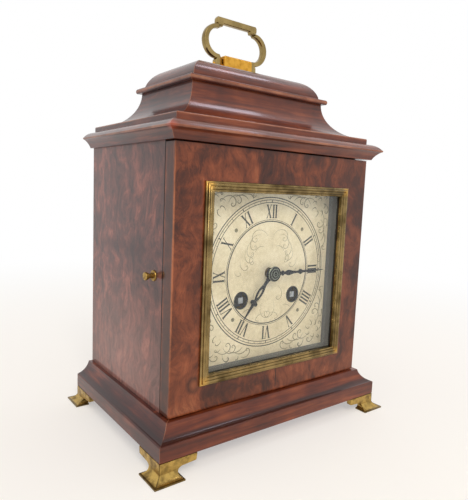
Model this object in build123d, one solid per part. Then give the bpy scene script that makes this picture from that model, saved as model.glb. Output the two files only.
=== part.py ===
from build123d import *
import math
import os

os.makedirs("parts", exist_ok=True)

# A spring driven bracket clock in a veneered wooden case.
# While it is modelled, X runs to the right and is 0 at the middle, Y runs back and is 0 at the front of the
# door, and Z runs up and is 0 at the floor. Lengths are millimetres.
# save() moves every piece back so that the origin lies below the middle of the whole object.

# Case
case_width = 150.0
case_depth = 109.3
side_thickness = 8.0
door_thickness = 9.9
door_height = 146.6
door_joint = 0.3
gap_under_door = 0.5
gap_over_door = 0.7
fit = 0.05
clear = 0.3

# Feet
foot_height = 10.0
foot_toe = 5.1
foot_pad = 0.9
foot_wing_length = 23.0
foot_wing_drop = 4.4
foot_leg_width = 10.8
foot_wall = 3.6
foot_web = 2.4
foot_web_reach = 13.0
foot_flare_height = 3.4

# Plinth: o is how far an edge stands out from the face of the case
plinth_height = 16.8
plinth_overhang = 10.7
plinth_step = 2.6
plinth_fascia = 8.9
plinth_rear_overhang = 0.2
arris = 0.6

# Cornice and caddy top
cornice_height = 10.2
cornice_overhang = 7.4
cornice_step = 2.2
cornice_thumb = 5.2
caddy_fillet_height = 3.8
caddy_shoulder = 3.0
sweep_height = 22.0
sweep_inset = 23.4
lath_height = 3.0
lath_inset = 20.4
cushion_height = 12.0
cushion_inset = 24.8
cushion_edge = 11.6

# Door
sight_opening = 101.6
sight_centre_height = 71.0
bezel_rim = 5.7
bezel_depth = 2.3
bezel_lip = 0.9
lining_thickness = 1.5
glass_thickness = 2.0
hinge_leaf = 0.8
hinge_leaf_width = 7.0
hinge_knuckle_r = 1.7
hinge_pin_r = 0.75
hinge_length = 19.2
hinge_stand_off = 0.6
hinge_from_end = 30.0
tongue_length = 14.0
tongue_thickness = 1.2
tongue_height = 9.0
tongue_inset = 10.0

# Release button on the left side
button_back = 9.8
button_height = 74.8
button_projection = 5.8
button_r = 2.3
button_stem_r = 1.3
button_travel = 2.5
ferrule_r = 3.1
ferrule_thickness = 0.8
hook_thickness = 1.2
hook_height = 12.0
hook_length = 8.0
hook_lip = 3.2

# Handle
handle_width = 52.4
handle_depth = 5.4
handle_bar = 4.6
handle_grip_bar = 4.3
handle_grip_half = 13.4
handle_knuckle = 4.9
handle_knuckle_drop = 2.2
handle_rise = 34.6
handle_pivot_rise = 5.2
handle_eye_r = 2.9
handle_leg = 5.2
handle_base_width = 22.4
handle_base_depth = 8.6
handle_base_height = 10.9
handle_flange = 2.0
trunnion_r = 1.4
running = 0.05
handle_bolt_r = 1.6
handle_bolt_spacing = 12.0
handle_nut_r = 3.4
handle_nut_height = 2.4

# Dial
dial_thickness = 1.6
dial_margin = 4.2
dial_centre_height = 72.9
dial_centre_hole_r = 3.4
winding_hole_r = 5.0
winding_spread = 21.2
winding_drop = 15.7
dial_foot_ring = 38.0
dial_foot_r = 2.0
dial_foot_tip_r = 1.2
surround_thickness = 6.0
surround_land = 3.6
motion_space = 8.2

# Movement frame
plate_width = 88.0
plate_height = 94.0
plate_thickness = 2.5
plate_spacing = 33.5
pillar_r = 3.5
pillar_inset = 7.0
screw_r = 1.5
screw_head_r = 2.8
screw_head = 1.6
seat_board_thickness = 8.0
seat_board_depth = 44.0
hole_play = 0.06

# Back door
back_door_thickness = 6.0
back_door_gap = 0.4
back_rebate = 3.0
back_field = 14.0
back_field_depth = 1.2
knob_r = 5.0
knob_length = 6.0
turn_bar_length = 9.0
turn_bar_width = 5.0
turn_bar_thickness = 1.6
knob_inset = 7.0
spindle_r = 1.6

# Gong
gong_turns = 6
gong_first_r = 12.0
gong_pitch = 7.0
gong_wire = 1.8
gong_depth = 3.0
gong_centre_height = 78.0
gong_behind = 76.0
stand_width = 14.0
stand_depth = 8.0

# Places worked out from the sizes above
half = case_width / 2
plinth_top = foot_height + plinth_height
door_bottom = plinth_top + gap_under_door
door_top = door_bottom + door_height
body_top = door_top + gap_over_door
caddy_bottom = body_top + cornice_height
sweep_bottom = caddy_bottom + caddy_fillet_height
sweep_top = sweep_bottom + sweep_height
lath_top = sweep_top + lath_height
cushion_top = lath_top + cushion_height
case_front = door_thickness + door_joint
inner_half = half - side_thickness
dial_front = case_front
dial_back = dial_front + dial_thickness
dial_z = door_bottom + dial_centre_height
sight_z = door_bottom + sight_centre_height
plate_front = dial_back + motion_space
plate_back = plate_front + plate_thickness
rear_plate_front = plate_back + plate_spacing
rear_plate_back = rear_plate_front + plate_thickness
plates_bottom = dial_z - plate_height / 2
seat_bottom = plates_bottom - seat_board_thickness
handle_y = case_depth / 2
pivot_z = cushion_top + handle_pivot_rise
front_reach = plinth_overhang + foot_toe
rear_reach = case_depth + plinth_rear_overhang + foot_toe
origin_y = (rear_reach - front_reach) / 2


def save(shape, node):
    """Writes one piece, moved so that the origin lies under the middle of the object."""
    placed = Pos(0, -origin_y, 0) * shape
    export_step(Compound(placed.solids()), "parts/" + node + ".step")


def block(x0, x1, y0, y1, z0, z1):
    """A box between two corners."""
    middle = Pos((x0 + x1) / 2, (y0 + y1) / 2, (z0 + z1) / 2)
    return middle * Box(x1 - x0, y1 - y0, z1 - z0)


def rod(x, z, radius, y0, y1):
    """A round bar that runs from front to back."""
    return Pos(x, (y0 + y1) / 2, z) * Rot(90, 0, 0) * Cylinder(radius, y1 - y0)


def post(x, y, radius, z0, z1):
    """A round bar that stands upright."""
    return Pos(x, y, (z0 + z1) / 2) * Cylinder(radius, z1 - z0)


def cross_rod(y, z, radius, x0, x1):
    """A round bar that runs from left to right."""
    return Pos((x0 + x1) / 2, y, z) * Rot(0, 90, 0) * Cylinder(radius, x1 - x0)


def plate(points, y0, y1):
    """A flat piece of the given front view, x and z, between two depths."""
    corners = [(x, y0, z) for x, z in points]
    face = make_face(Polyline(*corners, close=True))
    return extrude(face, amount=y1 - y0, dir=(0, 1, 0))


def edges_of(profile, place):
    """Edges along a profile. A step of two numbers is a straight run, one of four an arc through a point."""
    edges = []
    here = profile[0]
    for step in profile[1:]:
        if len(step) == 2:
            edges.append(Line(place(*here), place(*step)))
            here = step
        else:
            edges.append(ThreePointArc(place(*here), place(*step[:2]), place(*step[2:])))
            here = step[2:]
    return edges


def tier(profile, z, rear_profile, rear_face):
    """One storey of the case: the profile runs round it with mitred corners."""
    span = 2 * case_depth + case_width

    def both_sides(first, second, place_first, place_second):
        lines = edges_of(first, place_first) + edges_of(second, place_second)
        lines.append(Line(place_first(*first[0]), place_second(*second[0])))
        lines.append(Line(place_first(*first[-1][-2:]), place_second(*second[-1][-2:])))
        return make_face(lines)

    across = both_sides(
        profile, profile, lambda o, h: (half + o, 0, z + h), lambda o, h: (-half - o, 0, z + h))
    along = both_sides(
        profile, rear_profile, lambda o, h: (0, -o, z + h), lambda o, h: (0, rear_face + o, z + h))
    across = extrude(across, amount=span, dir=(0, 1, 0), both=True)
    along = extrude(along, amount=span, dir=(1, 0, 0), both=True)
    return across & along


# Plinth: a board with a cavetto above a square fascia
plinth_profile = [
    (plinth_overhang - arris, 0),
    (plinth_overhang - arris * 0.3, arris * 0.3, plinth_overhang, arris),
    (plinth_overhang, plinth_fascia - arris),
    (plinth_overhang - arris * 0.3, plinth_fascia - arris * 0.3, plinth_overhang - arris, plinth_fascia),
    ((plinth_overhang + plinth_step) / 2 - 1.2, (plinth_fascia + plinth_height) / 2 - 1.2,
     plinth_step, plinth_height),
]
plinth_rear = [(plinth_rear_overhang, 0), (plinth_rear_overhang, plinth_height)]
plinth = tier(plinth_profile, foot_height, plinth_rear, case_depth)

# Cornice: a small cavetto, a tip and a thumb moulding over it
cornice_rear = [(plinth_rear_overhang, 0), (plinth_rear_overhang, cornice_height)]
cornice_profile = [
    (cornice_step, 0),
    ((cornice_step + cornice_overhang - 0.9) / 2 - 0.5, 2.8, cornice_overhang - 0.9, cornice_thumb),
    (cornice_overhang, cornice_thumb + 0.8, cornice_overhang - 0.6, cornice_thumb + 1.6),
    (cornice_overhang * 0.58, cornice_height - 1.2, 0.4, cornice_height),
]
cornice = tier(cornice_profile, body_top, cornice_rear, case_depth)

# Caddy sweep: a square fillet and a quarter round hollow above it
sweep_radius_out = sweep_inset - caddy_shoulder
sweep_profile = [
    (-arris, 0),
    (-arris, caddy_fillet_height - arris),
    (-arris * 1.3, caddy_fillet_height - arris * 0.3, -2 * arris, caddy_fillet_height),
    (-caddy_shoulder, caddy_fillet_height),
    (-caddy_shoulder - 0.695 * sweep_radius_out, caddy_fillet_height + 0.31 * sweep_height,
     -sweep_inset, caddy_fillet_height + sweep_height),
]
caddy_sweep = tier(sweep_profile, caddy_bottom, sweep_profile, case_depth)

# Lath: a thin rounded fillet that stands out under the cushion
lath_profile = [
    (-lath_inset - arris, 0),
    (-lath_inset, lath_height / 2, -lath_inset - arris, lath_height),
]
caddy_lath = tier(lath_profile, sweep_top, lath_profile, case_depth)

# Cushion: a short upright and an ovolo that runs into the flat top
cushion_profile = [
    (-cushion_inset, 0),
    (-cushion_inset, 1.6),
    (-cushion_inset - 0.27 * cushion_edge, cushion_height * 0.6, -cushion_inset - cushion_edge, cushion_height),
]
caddy_cushion = tier(cushion_profile, lath_top, cushion_profile, case_depth)

# Bolts that hold the handle and the caddy top down, with their nuts under the cornice board
handle_bolts = []
for side in (-1, 1):
    bolt_x = side * handle_bolt_spacing / 2
    bolt = post(bolt_x, handle_y, handle_bolt_r, body_top - handle_nut_height - 1.0, cushion_top + handle_flange)
    nut = Pos(bolt_x, handle_y, body_top - handle_nut_height / 2) * extrude(
        RegularPolygon(handle_nut_r, 6), amount=handle_nut_height / 2, both=True)
    handle_bolts.append(bolt + nut)
    bore = post(bolt_x, handle_y, handle_bolt_r + fit, body_top - 1.0, cushion_top + 1.0)
    cornice -= bore
    caddy_sweep -= bore
    caddy_lath -= bore
    caddy_cushion -= bore
save(Compound(handle_bolts), "handle_bolts")
save(cornice, "cornice_board")
save(caddy_sweep, "caddy_sweep")
save(caddy_lath, "caddy_lath")
save(caddy_cushion, "caddy_cushion")

# Bracket feet: the corner of the plinth lies at 0, 0 and the wings run along X and Y
foot_profile = [
    (-foot_wing_length, 0),
    (foot_toe, 0),
    (foot_toe, foot_pad),
    (foot_toe * 0.36, foot_pad + 0.32 * foot_flare_height, 0, foot_pad + foot_flare_height),
    (0, foot_height),
    (-foot_wing_length, foot_height),
    (-foot_wing_length, 0),
]
foot_section = make_face(edges_of(foot_profile, lambda o, h: (0, -o, h)))
foot_run = extrude(foot_section, amount=2 * foot_wing_length, dir=(1, 0, 0), both=True)
diagonal = Plane(origin=(0, 0, 0), z_dir=(1, -1, 0))
foot_core = foot_run & mirror(foot_run, about=diagonal)
wing_bottom = foot_height - foot_wing_drop
foot_view = [
    (-foot_toe, 0),
    (foot_leg_width + 2.0, 0),
    (foot_leg_width + 2.0, foot_pad),
    (foot_leg_width + 0.4, foot_pad + 0.7, foot_leg_width, foot_pad + 2.0),
    (foot_leg_width + 1.1, wing_bottom - 0.9, foot_leg_width + 3.6, wing_bottom),
    (foot_wing_length - 0.5, wing_bottom + 0.5),
    (foot_wing_length, foot_height),
    (-foot_toe, foot_height),
    (-foot_toe, 0),
]
foot_wing = extrude(
    make_face(edges_of(foot_view, lambda x, h: (x, -foot_toe, h))), amount=foot_toe + foot_wall, dir=(0, 1, 0))
foot = foot_core & (foot_wing + mirror(foot_wing, about=diagonal))
foot += block(foot_wall - 0.5, foot_web_reach, foot_wall - 0.5, foot_web_reach, foot_height - foot_web, foot_height)
foot_screw_at = (foot_wall + foot_web_reach) / 2
foot -= post(foot_screw_at, foot_screw_at, screw_r + fit, 0, foot_height + 1)

corner_x = half + plinth_overhang
corner_y = -plinth_overhang
rear_corner_y = case_depth + plinth_rear_overhang
left_feet = Pos(-corner_x, corner_y, 0) * foot
left_rear = Pos(-corner_x, rear_corner_y, 0) * mirror(foot, about=Plane.XZ)
feet = [left_feet, left_rear, mirror(left_feet, about=Plane.YZ), mirror(left_rear, about=Plane.YZ)]
save(Compound(feet), "bracket_feet")

foot_screws = []
for side in (-1, 1):
    for depth in (corner_y + foot_screw_at, rear_corner_y - foot_screw_at):
        x = side * (corner_x - foot_screw_at)
        web_bottom = foot_height - foot_web
        head = post(x, depth, screw_head_r, web_bottom - screw_head, web_bottom)
        foot_screws.append(head + post(x, depth, screw_r, web_bottom - screw_head, foot_height + 9.0))
        plinth -= post(x, depth, screw_r + fit, foot_height - 1, foot_height + 9.5)
save(Compound(foot_screws), "foot_screws")
save(plinth, "plinth")

# Hinges: the pin of each pair stands upright at the outer edge of a joint
front_hinge_x = half + hinge_stand_off
front_hinge_y = door_thickness + door_joint / 2
front_hinge_z = (door_bottom + hinge_from_end, door_top - hinge_from_end)
back_inner_half = half - side_thickness + back_rebate
back_hinge_x = back_inner_half - back_door_gap / 2
back_hinge_y = case_depth + hinge_stand_off
back_hinge_z = front_hinge_z
segment = hinge_length / 3


def knuckle(x, y, z, which):
    """One of the three segments of a knuckle, with the hole for its pin."""
    z0 = z - hinge_length / 2 + which * segment
    low = z0 + (running if which else 0)
    high = z0 + segment - (running if which < 2 else 0)
    return post(x, y, hinge_knuckle_r, low, high) - post(x, y, hinge_pin_r + running, z0 - 1, z0 + segment + 1)


def leaf_pair(x, y, z, towards, face):
    """The moving leaf and the fixed leaf of one hinge.

    towards points from the pin along the leaves. face is +1 where the fixed leaf lies on the +Y side of a joint
    across Y, and 0 where the joint runs from front to back, with the fixed leaf on the outer side.
    """
    reach = hinge_knuckle_r + clear
    z0 = z - hinge_length / 2
    z1 = z + hinge_length / 2
    middle0 = z0 + segment
    middle1 = z1 - segment
    if face:
        half_joint = door_joint / 2
        ends = sorted((x, x + towards * (hinge_leaf_width + hinge_stand_off)))
        moving = block(ends[0], ends[1], y - half_joint - hinge_leaf, y - half_joint, z0, z1)
        fixed = block(ends[0], ends[1], y + half_joint, y + half_joint + hinge_leaf, z0, z1)
        notch = block(x - reach, x + reach, y - reach, y + reach, middle0, middle1)
        ears = block(x - reach, x + reach, y - reach, y + reach, z0 - 1, middle0)
        ears += block(x - reach, x + reach, y - reach, y + reach, middle1, z1 + 1)
    else:
        half_joint = back_door_gap / 2
        moving = block(x - half_joint - hinge_leaf, x - half_joint, y - hinge_leaf_width, y, z0, z1)
        fixed = block(x + half_joint, x + half_joint + hinge_leaf, y - hinge_leaf_width, y, z0, z1)
        notch = block(x - reach, x + reach, y - reach, y + reach, middle0, middle1)
        ears = block(x - reach, x + reach, y - reach, y + reach, z0 - 1, middle0)
        ears += block(x - reach, x + reach, y - reach, y + reach, middle1, z1 + 1)
    bore = post(x, y, hinge_pin_r + running, z0 - 1, z1 + 1)
    moving = moving - notch + knuckle(x, y, z, 0) + knuckle(x, y, z, 2) - bore
    fixed = fixed - ears + knuckle(x, y, z, 1) - bore
    return moving, fixed


door_leaves = []
back_leaves = []
case_leaves = []
hinge_pins = []
for z in front_hinge_z:
    moving, fixed = leaf_pair(front_hinge_x, front_hinge_y, z, -1, 1)
    door_leaves.append(moving)
    case_leaves.append(fixed)
    hinge_pins.append(post(front_hinge_x, front_hinge_y, hinge_pin_r, z - hinge_length / 2, z + hinge_length / 2))
for z in back_hinge_z:
    moving, fixed = leaf_pair(back_hinge_x, back_hinge_y, z, 0, 0)
    back_leaves.append(moving)
    case_leaves.append(fixed)
    hinge_pins.append(post(back_hinge_x, back_hinge_y, hinge_pin_r, z - hinge_length / 2, z + hinge_length / 2))
save(Compound(door_leaves), "door_hinge_leaves")
save(Compound(back_leaves), "back_hinge_leaves")
save(Compound(case_leaves), "case_hinge_leaves")
save(Compound(hinge_pins), "hinge_pins")


def front_hinge_room(z):
    """The recess that a front hinge needs in the door and in the side board."""
    z0 = z - hinge_length / 2 - 0.05
    z1 = z + hinge_length / 2 + 0.05
    room = post(front_hinge_x, front_hinge_y, hinge_knuckle_r + clear, z0, z1)
    deep = door_joint / 2 + hinge_leaf
    return room + block(half - hinge_leaf_width, half + 1, front_hinge_y - deep, front_hinge_y + deep, z0, z1)


def back_hinge_room(z):
    """The recess that a back hinge needs in the back door and in the side board."""
    z0 = z - hinge_length / 2 - 0.05
    z1 = z + hinge_length / 2 + 0.05
    room = post(back_hinge_x, back_hinge_y, hinge_knuckle_r + clear, z0, z1)
    deep = back_door_gap / 2 + hinge_leaf
    back = back_hinge_y - hinge_leaf_width
    return room + block(back_hinge_x - deep, back_hinge_x + deep, back, case_depth + 1, z0, z1)


# Side boards, with a rebate at the rear for the back door
side_board = block(inner_half, half, case_front, case_depth, plinth_top, body_top)
side_board -= block(
    inner_half - 1, back_inner_half, case_depth - back_door_thickness - back_door_gap, case_depth + 1,
    plinth_top - 1, body_top + 1)
button_y = case_front + button_back
button_z = door_bottom + button_height
left_side = mirror(side_board, about=Plane.YZ)
left_side -= cross_rod(button_y, button_z, button_stem_r + running, -half - 1, -inner_half + 1)
right_side = side_board
for z in front_hinge_z:
    right_side -= front_hinge_room(z)
for z in back_hinge_z:
    right_side -= back_hinge_room(z)
knob_x = -back_inner_half + back_door_gap + knob_inset
knob_z = (plinth_top + body_top) / 2
bar_back = case_depth - back_door_thickness - clear
bar_reach = turn_bar_length - turn_bar_width / 2
bar_swing = math.hypot(bar_reach, turn_bar_width / 2)
left_side -= block(
    knob_x - bar_swing - clear, -inner_half + 1, bar_back - turn_bar_thickness - clear,
    case_depth - back_door_thickness, knob_z - bar_swing, knob_z + bar_swing)
save(left_side, "left_side_board")
save(right_side, "right_side_board")

# Front door: one veneered frame, with its lining, glass and hinges
wood_opening = sight_opening + 2 * lining_thickness + 2 * fit
door = block(-half, half, 0, door_thickness, door_bottom, door_top)
door = fillet(door.edges().filter_by(Axis.Z).group_by(Axis.Y)[0], arris)
half_wood = wood_opening / 2
door -= block(-half_wood, half_wood, -1, door_thickness + 1, sight_z - half_wood, sight_z + half_wood)
for z in front_hinge_z:
    door -= front_hinge_room(z)
save(door, "door_frame")


def square_ring(outer, inner, y0, y1):
    """A square frame round the sight opening."""
    a = outer / 2
    b = inner / 2
    ring = block(-a, a, y0, y1, sight_z - a, sight_z + a)
    return ring - block(-b, b, y0 - 1, y1 + 1, sight_z - b, sight_z + b)


lining_outer = sight_opening + 2 * lining_thickness
glass_front = bezel_lip
lining_front = glass_front + glass_thickness
save(square_ring(lining_outer, sight_opening, lining_front, door_thickness), "door_lining")
half_glass = lining_outer / 2
glass = block(-half_glass, half_glass, glass_front, lining_front, sight_z - half_glass, sight_z + half_glass)
save(glass, "door_glass")

# Sight bezel: a reeded brass moulding round the opening, with a lip that holds the glass
bezel_outer = sight_opening + 2 * bezel_rim
bezel_core = sight_opening / 2
bezel_profile = [
    (0, 0),
    (0, -bezel_depth * 0.45),
    (bezel_rim * 0.12, -bezel_depth * 0.8, bezel_rim * 0.3, -bezel_depth * 0.7),
    (bezel_rim * 0.55, -bezel_depth * 1.25, bezel_rim * 0.8, -bezel_depth * 0.65),
    (bezel_rim, -bezel_depth * 0.55),
    (bezel_rim, 0),
    (0, 0),
]
upright = make_face(edges_of(bezel_profile, lambda o, y: (bezel_core + o, y, sight_z)))
upright = extrude(upright, amount=bezel_outer, dir=(0, 0, 1), both=True)
mitre_reach = bezel_outer
mitre = make_face(Polyline(
    (0, -bezel_outer, sight_z), (mitre_reach, -bezel_outer, sight_z - mitre_reach),
    (mitre_reach, -bezel_outer, sight_z + mitre_reach), close=True))
upright = upright & extrude(mitre, amount=2 * bezel_outer, dir=(0, 1, 0))
bezel = square_ring(lining_outer, sight_opening, -bezel_lip * 0.5, bezel_lip)
for quarter in range(4):
    bezel += Pos(0, 0, sight_z) * Rot(0, 90 * quarter, 0) * Pos(0, 0, -sight_z) * upright
save(bezel, "sight_bezel")

# Tongue on the back of the door, and the hook on the button stem that holds it
tongue_x = -inner_half + tongue_inset - tongue_thickness
tongue = block(
    tongue_x, tongue_x + tongue_thickness, door_thickness, door_thickness + tongue_length,
    button_z - tongue_height / 2, button_z + tongue_height / 2)
tongue += block(
    tongue_x - 3.5, tongue_x + tongue_thickness + 3.5, door_thickness, door_thickness + 0.2,
    button_z - tongue_height / 2, button_z + tongue_height / 2)
save(tongue, "door_tongue")

ferrule = cross_rod(button_y, button_z, ferrule_r, -half - ferrule_thickness, -half)
ferrule = chamfer(ferrule.edges().group_by(Axis.X)[0], ferrule_thickness * 0.4)
ferrule -= cross_rod(button_y, button_z, button_stem_r + running, -half - 2, -half + 1)
save(ferrule, "button_ferrule")

knob_inner = -half - ferrule_thickness - button_travel - 0.2
knob_outer = -half - button_projection
button = cross_rod(button_y, button_z, button_stem_r, knob_inner - 0.5, -inner_half + 4.0)
neck = (knob_inner + knob_outer) / 2
button += cross_rod(button_y, button_z, button_r * 0.8, neck, knob_inner)
cap = cross_rod(button_y, button_z, button_r, knob_outer, neck)
button += fillet(cap.edges().group_by(Axis.X)[0], button_r * 0.2)
save(button, "release_button")

hook_x = -inner_half + 2.0
hook_front = case_front + surround_thickness + 2 * clear
hook_back = hook_front + hook_length
hook = block(
    hook_x, hook_x + hook_thickness, hook_front, hook_back, button_z - hook_height / 2, button_z + hook_height / 2)
hook += block(
    hook_x, hook_x + hook_lip, hook_back - hook_thickness, hook_back,
    button_z - hook_height / 2, button_z + hook_height / 2)
hook -= cross_rod(button_y, button_z, button_stem_r, hook_x - 1, hook_x + hook_lip + 1)
save(hook, "latch_hook")

# Handle: a flat bail with a straight grip between two stepped knuckles, pivoted on a base block
grip_top = cushion_top + handle_rise
grip_bottom = grip_top - handle_grip_bar
outer_x = handle_width / 2
leg_inner = handle_base_width / 2 + clear
leg_outer = leg_inner + handle_leg
bow_top = grip_top - 3.2
bow_bottom = pivot_z + 3.6
bow_middle = (bow_top + bow_bottom) / 2
knuckle_outer = handle_grip_half + handle_knuckle
handle_outside = [
    (leg_outer, pivot_z),
    (leg_outer, bow_bottom),
    (outer_x, bow_middle, knuckle_outer, bow_top),
    (knuckle_outer, grip_top - 0.5),
    (knuckle_outer - 0.5, grip_top),
    (0, grip_top),
]
handle_inside = [
    (leg_inner, pivot_z),
    (leg_inner, bow_bottom + handle_bar * 0.5),
    (leg_inner + 1.6, bow_bottom + handle_bar),
    (outer_x - handle_bar, bow_middle, knuckle_outer - 1.2, bow_top - handle_bar * 0.9),
    (knuckle_outer - 1.2, grip_bottom - handle_knuckle_drop),
    (handle_grip_half, grip_bottom - handle_knuckle_drop),
    (handle_grip_half - 0.8, grip_bottom),
    (0, grip_bottom),
]


def handle_place(x, z):
    return (x, handle_y - handle_depth / 2, z)


handle_lines = edges_of(handle_outside, handle_place) + edges_of(handle_inside, handle_place)
handle_lines.append(Line(handle_place(leg_inner, pivot_z), handle_place(leg_outer, pivot_z)))
handle_lines.append(Line(handle_place(0, grip_bottom), handle_place(0, grip_top)))
bail_half = extrude(make_face(handle_lines), amount=handle_depth, dir=(0, 1, 0))
bail_half += cross_rod(handle_y, pivot_z, handle_eye_r, leg_inner, leg_outer)
bail = bail_half + mirror(bail_half, about=Plane.YZ)
grip_edges = bail.edges().filter_by(Axis.X).filter_by(
    lambda e: e.length > handle_grip_half and e.center().Z > grip_bottom - 0.5)
bail = chamfer(grip_edges, handle_grip_bar * 0.25)
bail -= cross_rod(handle_y, pivot_z, trunnion_r + running, -leg_outer - 1, leg_outer + 1)
save(bail, "handle_bail")

base_half = handle_base_width / 2
handle_base = block(
    -base_half, base_half, handle_y - handle_base_depth / 2, handle_y + handle_base_depth / 2,
    cushion_top, cushion_top + handle_base_height)
handle_base = chamfer(handle_base.edges().group_by(Axis.Z)[-1], 0.7)
handle_base += cross_rod(handle_y, pivot_z, trunnion_r, -leg_outer - 0.4, leg_outer + 0.4)
for side in (-1, 1):
    handle_base -= post(
        side * handle_bolt_spacing / 2, handle_y, handle_bolt_r + fit, cushion_top - 1, cushion_top + handle_flange)
save(handle_base, "handle_base")

# Dial surround and dial plate
dial_size = sight_opening + 2 * dial_margin
surround = block(
    -inner_half, inner_half, case_front, case_front + surround_thickness, plinth_top, body_top)
half_dial = dial_size / 2 + fit
surround -= block(
    -half_dial, half_dial, case_front - 1, dial_back, sight_z - half_dial, sight_z + half_dial)
half_through = dial_size / 2 - surround_land
surround -= block(
    -half_through, half_through, case_front - 1, case_front + surround_thickness + 1,
    sight_z - half_through, sight_z + half_through)
surround -= block(
    tongue_x - 4.2, tongue_x + tongue_thickness + 4.2, case_front - 1, case_front + surround_thickness + 1,
    button_z - tongue_height / 2 - 1, button_z + tongue_height / 2 + 1)
save(surround, "dial_surround")

dial = block(
    -dial_size / 2, dial_size / 2, dial_front, dial_back, sight_z - dial_size / 2, sight_z + dial_size / 2)
dial -= rod(0, dial_z, dial_centre_hole_r, dial_front - 1, dial_back + 1)
for side in (-1, 1):
    dial -= rod(side * winding_spread, dial_z - winding_drop, winding_hole_r, dial_front - 1, dial_back + 1)
dial_feet = []
foot_offset = dial_foot_ring / math.sqrt(2)
for side in (-1, 1):
    for level in (-1, 1):
        x = side * foot_offset
        z = dial_z + level * foot_offset
        shank = rod(x, z, dial_foot_r, dial_back, plate_front)
        rivet = rod(x, z, dial_foot_tip_r, dial_front, dial_back + 1)
        tip = rod(x, z, dial_foot_tip_r, plate_front - 1, plate_back + 2.0)
        dial_feet.append(shank + rivet + tip)
        dial -= rod(x, z, dial_foot_tip_r, dial_front - 1, dial_back + 1)
save(dial, "dial_plate")
save(Compound(dial_feet), "dial_feet")

# Hands, drawn upright and then turned to the time they show
hour_angle = 217.5
minute_angle = 90.0
centre_arbor_r = 0.9
cannon_r = 1.5
hour_pipe_r = 2.3
cannon_bore_r = centre_arbor_r + running
hour_bore_r = cannon_r + running
hour_hand_length = 34.5
minute_hand_length = 44.0
hour_hand_front = 6.9
minute_hand_front = 5.2
hand_thickness = 0.6
hour_collet_r = 3.5
minute_collet_r = 3.0
hand_nut_r = 4.8
hand_nut_front = 3.5
hand_fit = 0.02


def hand_blank(half_outline, front):
    """A hand of the given half outline, x and height above the dial centre, made whole by its mirror image."""
    right = [(x, dial_z + h) for x, h in half_outline]
    left = [(-x, dial_z + h) for x, h in reversed(half_outline)]
    return plate(right + left, front, front + hand_thickness)


def turned(piece, angle):
    """A piece turned about the dial centre, clockwise as seen from the front."""
    return Pos(0, 0, dial_z) * Rot(0, angle, 0) * Pos(0, 0, -dial_z) * piece


hour_outline = [
    (1.2, hour_collet_r - 1), (0.9, 7.0), (1.0, 9.5), (2.0, 12.5), (2.2, 15.5), (1.6, 18.5), (0.9, 20.3),
    (1.1, 21.0), (2.6, 21.2), (2.9, 22.0), (2.6, 22.8), (1.1, 23.0), (0.8, 24.5), (0.25, hour_hand_length)]
hour_eye = [(0.15, 11.3), (0.95, 13.4), (1.1, 15.4), (0.7, 17.6), (0.15, 19.0)]
hour_hand = hand_blank(hour_outline, hour_hand_front)
hour_hand -= hand_blank(hour_eye, hour_hand_front)
hour_hand += rod(0, dial_z, hour_collet_r, hour_hand_front, hour_hand_front + 1.6)
hour_hand -= rod(0, dial_z, hour_pipe_r + hand_fit, hour_hand_front - 1, hour_hand_front + 3)
save(turned(hour_hand, hour_angle), "hour_hand")

minute_outline = [
    (0.9, minute_collet_r - 1), (0.8, 6.3), (1.5, 7.2), (1.6, 7.9), (0.8, 8.6), (0.9, 9.6), (1.3, 10.4),
    (1.7, 12.4), (1.3, 15.0), (0.75, 18.0), (0.55, 21.4), (1.3, 22.4), (1.4, 23.4), (0.8, 24.3),
    (0.7, 26.0), (0.2, minute_hand_length)]
minute_hand = hand_blank(minute_outline, minute_hand_front)
minute_hand += rod(0, dial_z, minute_collet_r, minute_hand_front, minute_hand_front + 1.2)
minute_hand -= rod(0, dial_z, cannon_r + hand_fit, minute_hand_front - 1, minute_hand_front + 3)
save(turned(minute_hand, minute_angle), "minute_hand")

hand_nut = rod(0, dial_z, hand_nut_r, hand_nut_front, minute_hand_front)
hand_nut = chamfer(hand_nut.edges().group_by(Axis.Y)[0], 0.7)
hand_nut -= rod(0, dial_z, centre_arbor_r + running, hand_nut_front + 0.6, minute_hand_front + 1)
save(hand_nut, "hand_nut")


# Wheels and pinions
def gear_points(teeth, module, phase):
    """The toothed outline of a wheel: thin teeth with running play, the first one at the phase angle."""
    pitch_r = teeth * module / 2
    steps = [(-0.27, -1.3), (-0.205, 0.0), (-0.10, 0.85), (0.10, 0.85), (0.205, 0.0), (0.27, -1.3)]
    points = []
    for tooth in range(teeth):
        for share, height in steps:
            angle = phase + (tooth + share) * 2 * math.pi / teeth
            radius = pitch_r + height * module
            points.append((radius * math.cos(angle), radius * math.sin(angle)))
    return points


def gear(centre, teeth, module, phase, y0, y1):
    """A toothed wheel without crossings."""
    shifted = [(centre[0] + x, dial_z + centre[1] + z) for x, z in gear_points(teeth, module, phase)]
    return plate(shifted, y0, y1)


def crossed(centre, teeth, module, phase, y0, y1, hub_r):
    """A toothed wheel with four arms."""
    wheel = gear(centre, teeth, module, phase, y0, y1)
    rim_r = teeth * module / 2 - 3.2 * module
    cut = rod(centre[0], dial_z + centre[1], rim_r, y0 - 1, y1 + 1)
    cut -= rod(centre[0], dial_z + centre[1], hub_r, y0 - 2, y1 + 2)
    arm = max(1.0, 1.6 * module)
    for turn in (0, 90):
        bar = Box(2 * rim_r + 2, 4 + y1 - y0, arm)
        cut -= Pos(centre[0], (y0 + y1) / 2, dial_z + centre[1]) * Rot(0, 45 + turn, 0) * bar
    return wheel - cut


def meshed_phase(first, first_teeth, first_phase, second, second_teeth):
    """The phase at which the second wheel's spaces meet the first wheel's teeth."""
    line = math.atan2(second[1] - first[1], second[0] - first[0])
    tooth = (line - first_phase) * first_teeth / (2 * math.pi)
    return line + math.pi - (0.5 - tooth) * 2 * math.pi / second_teeth


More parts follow.
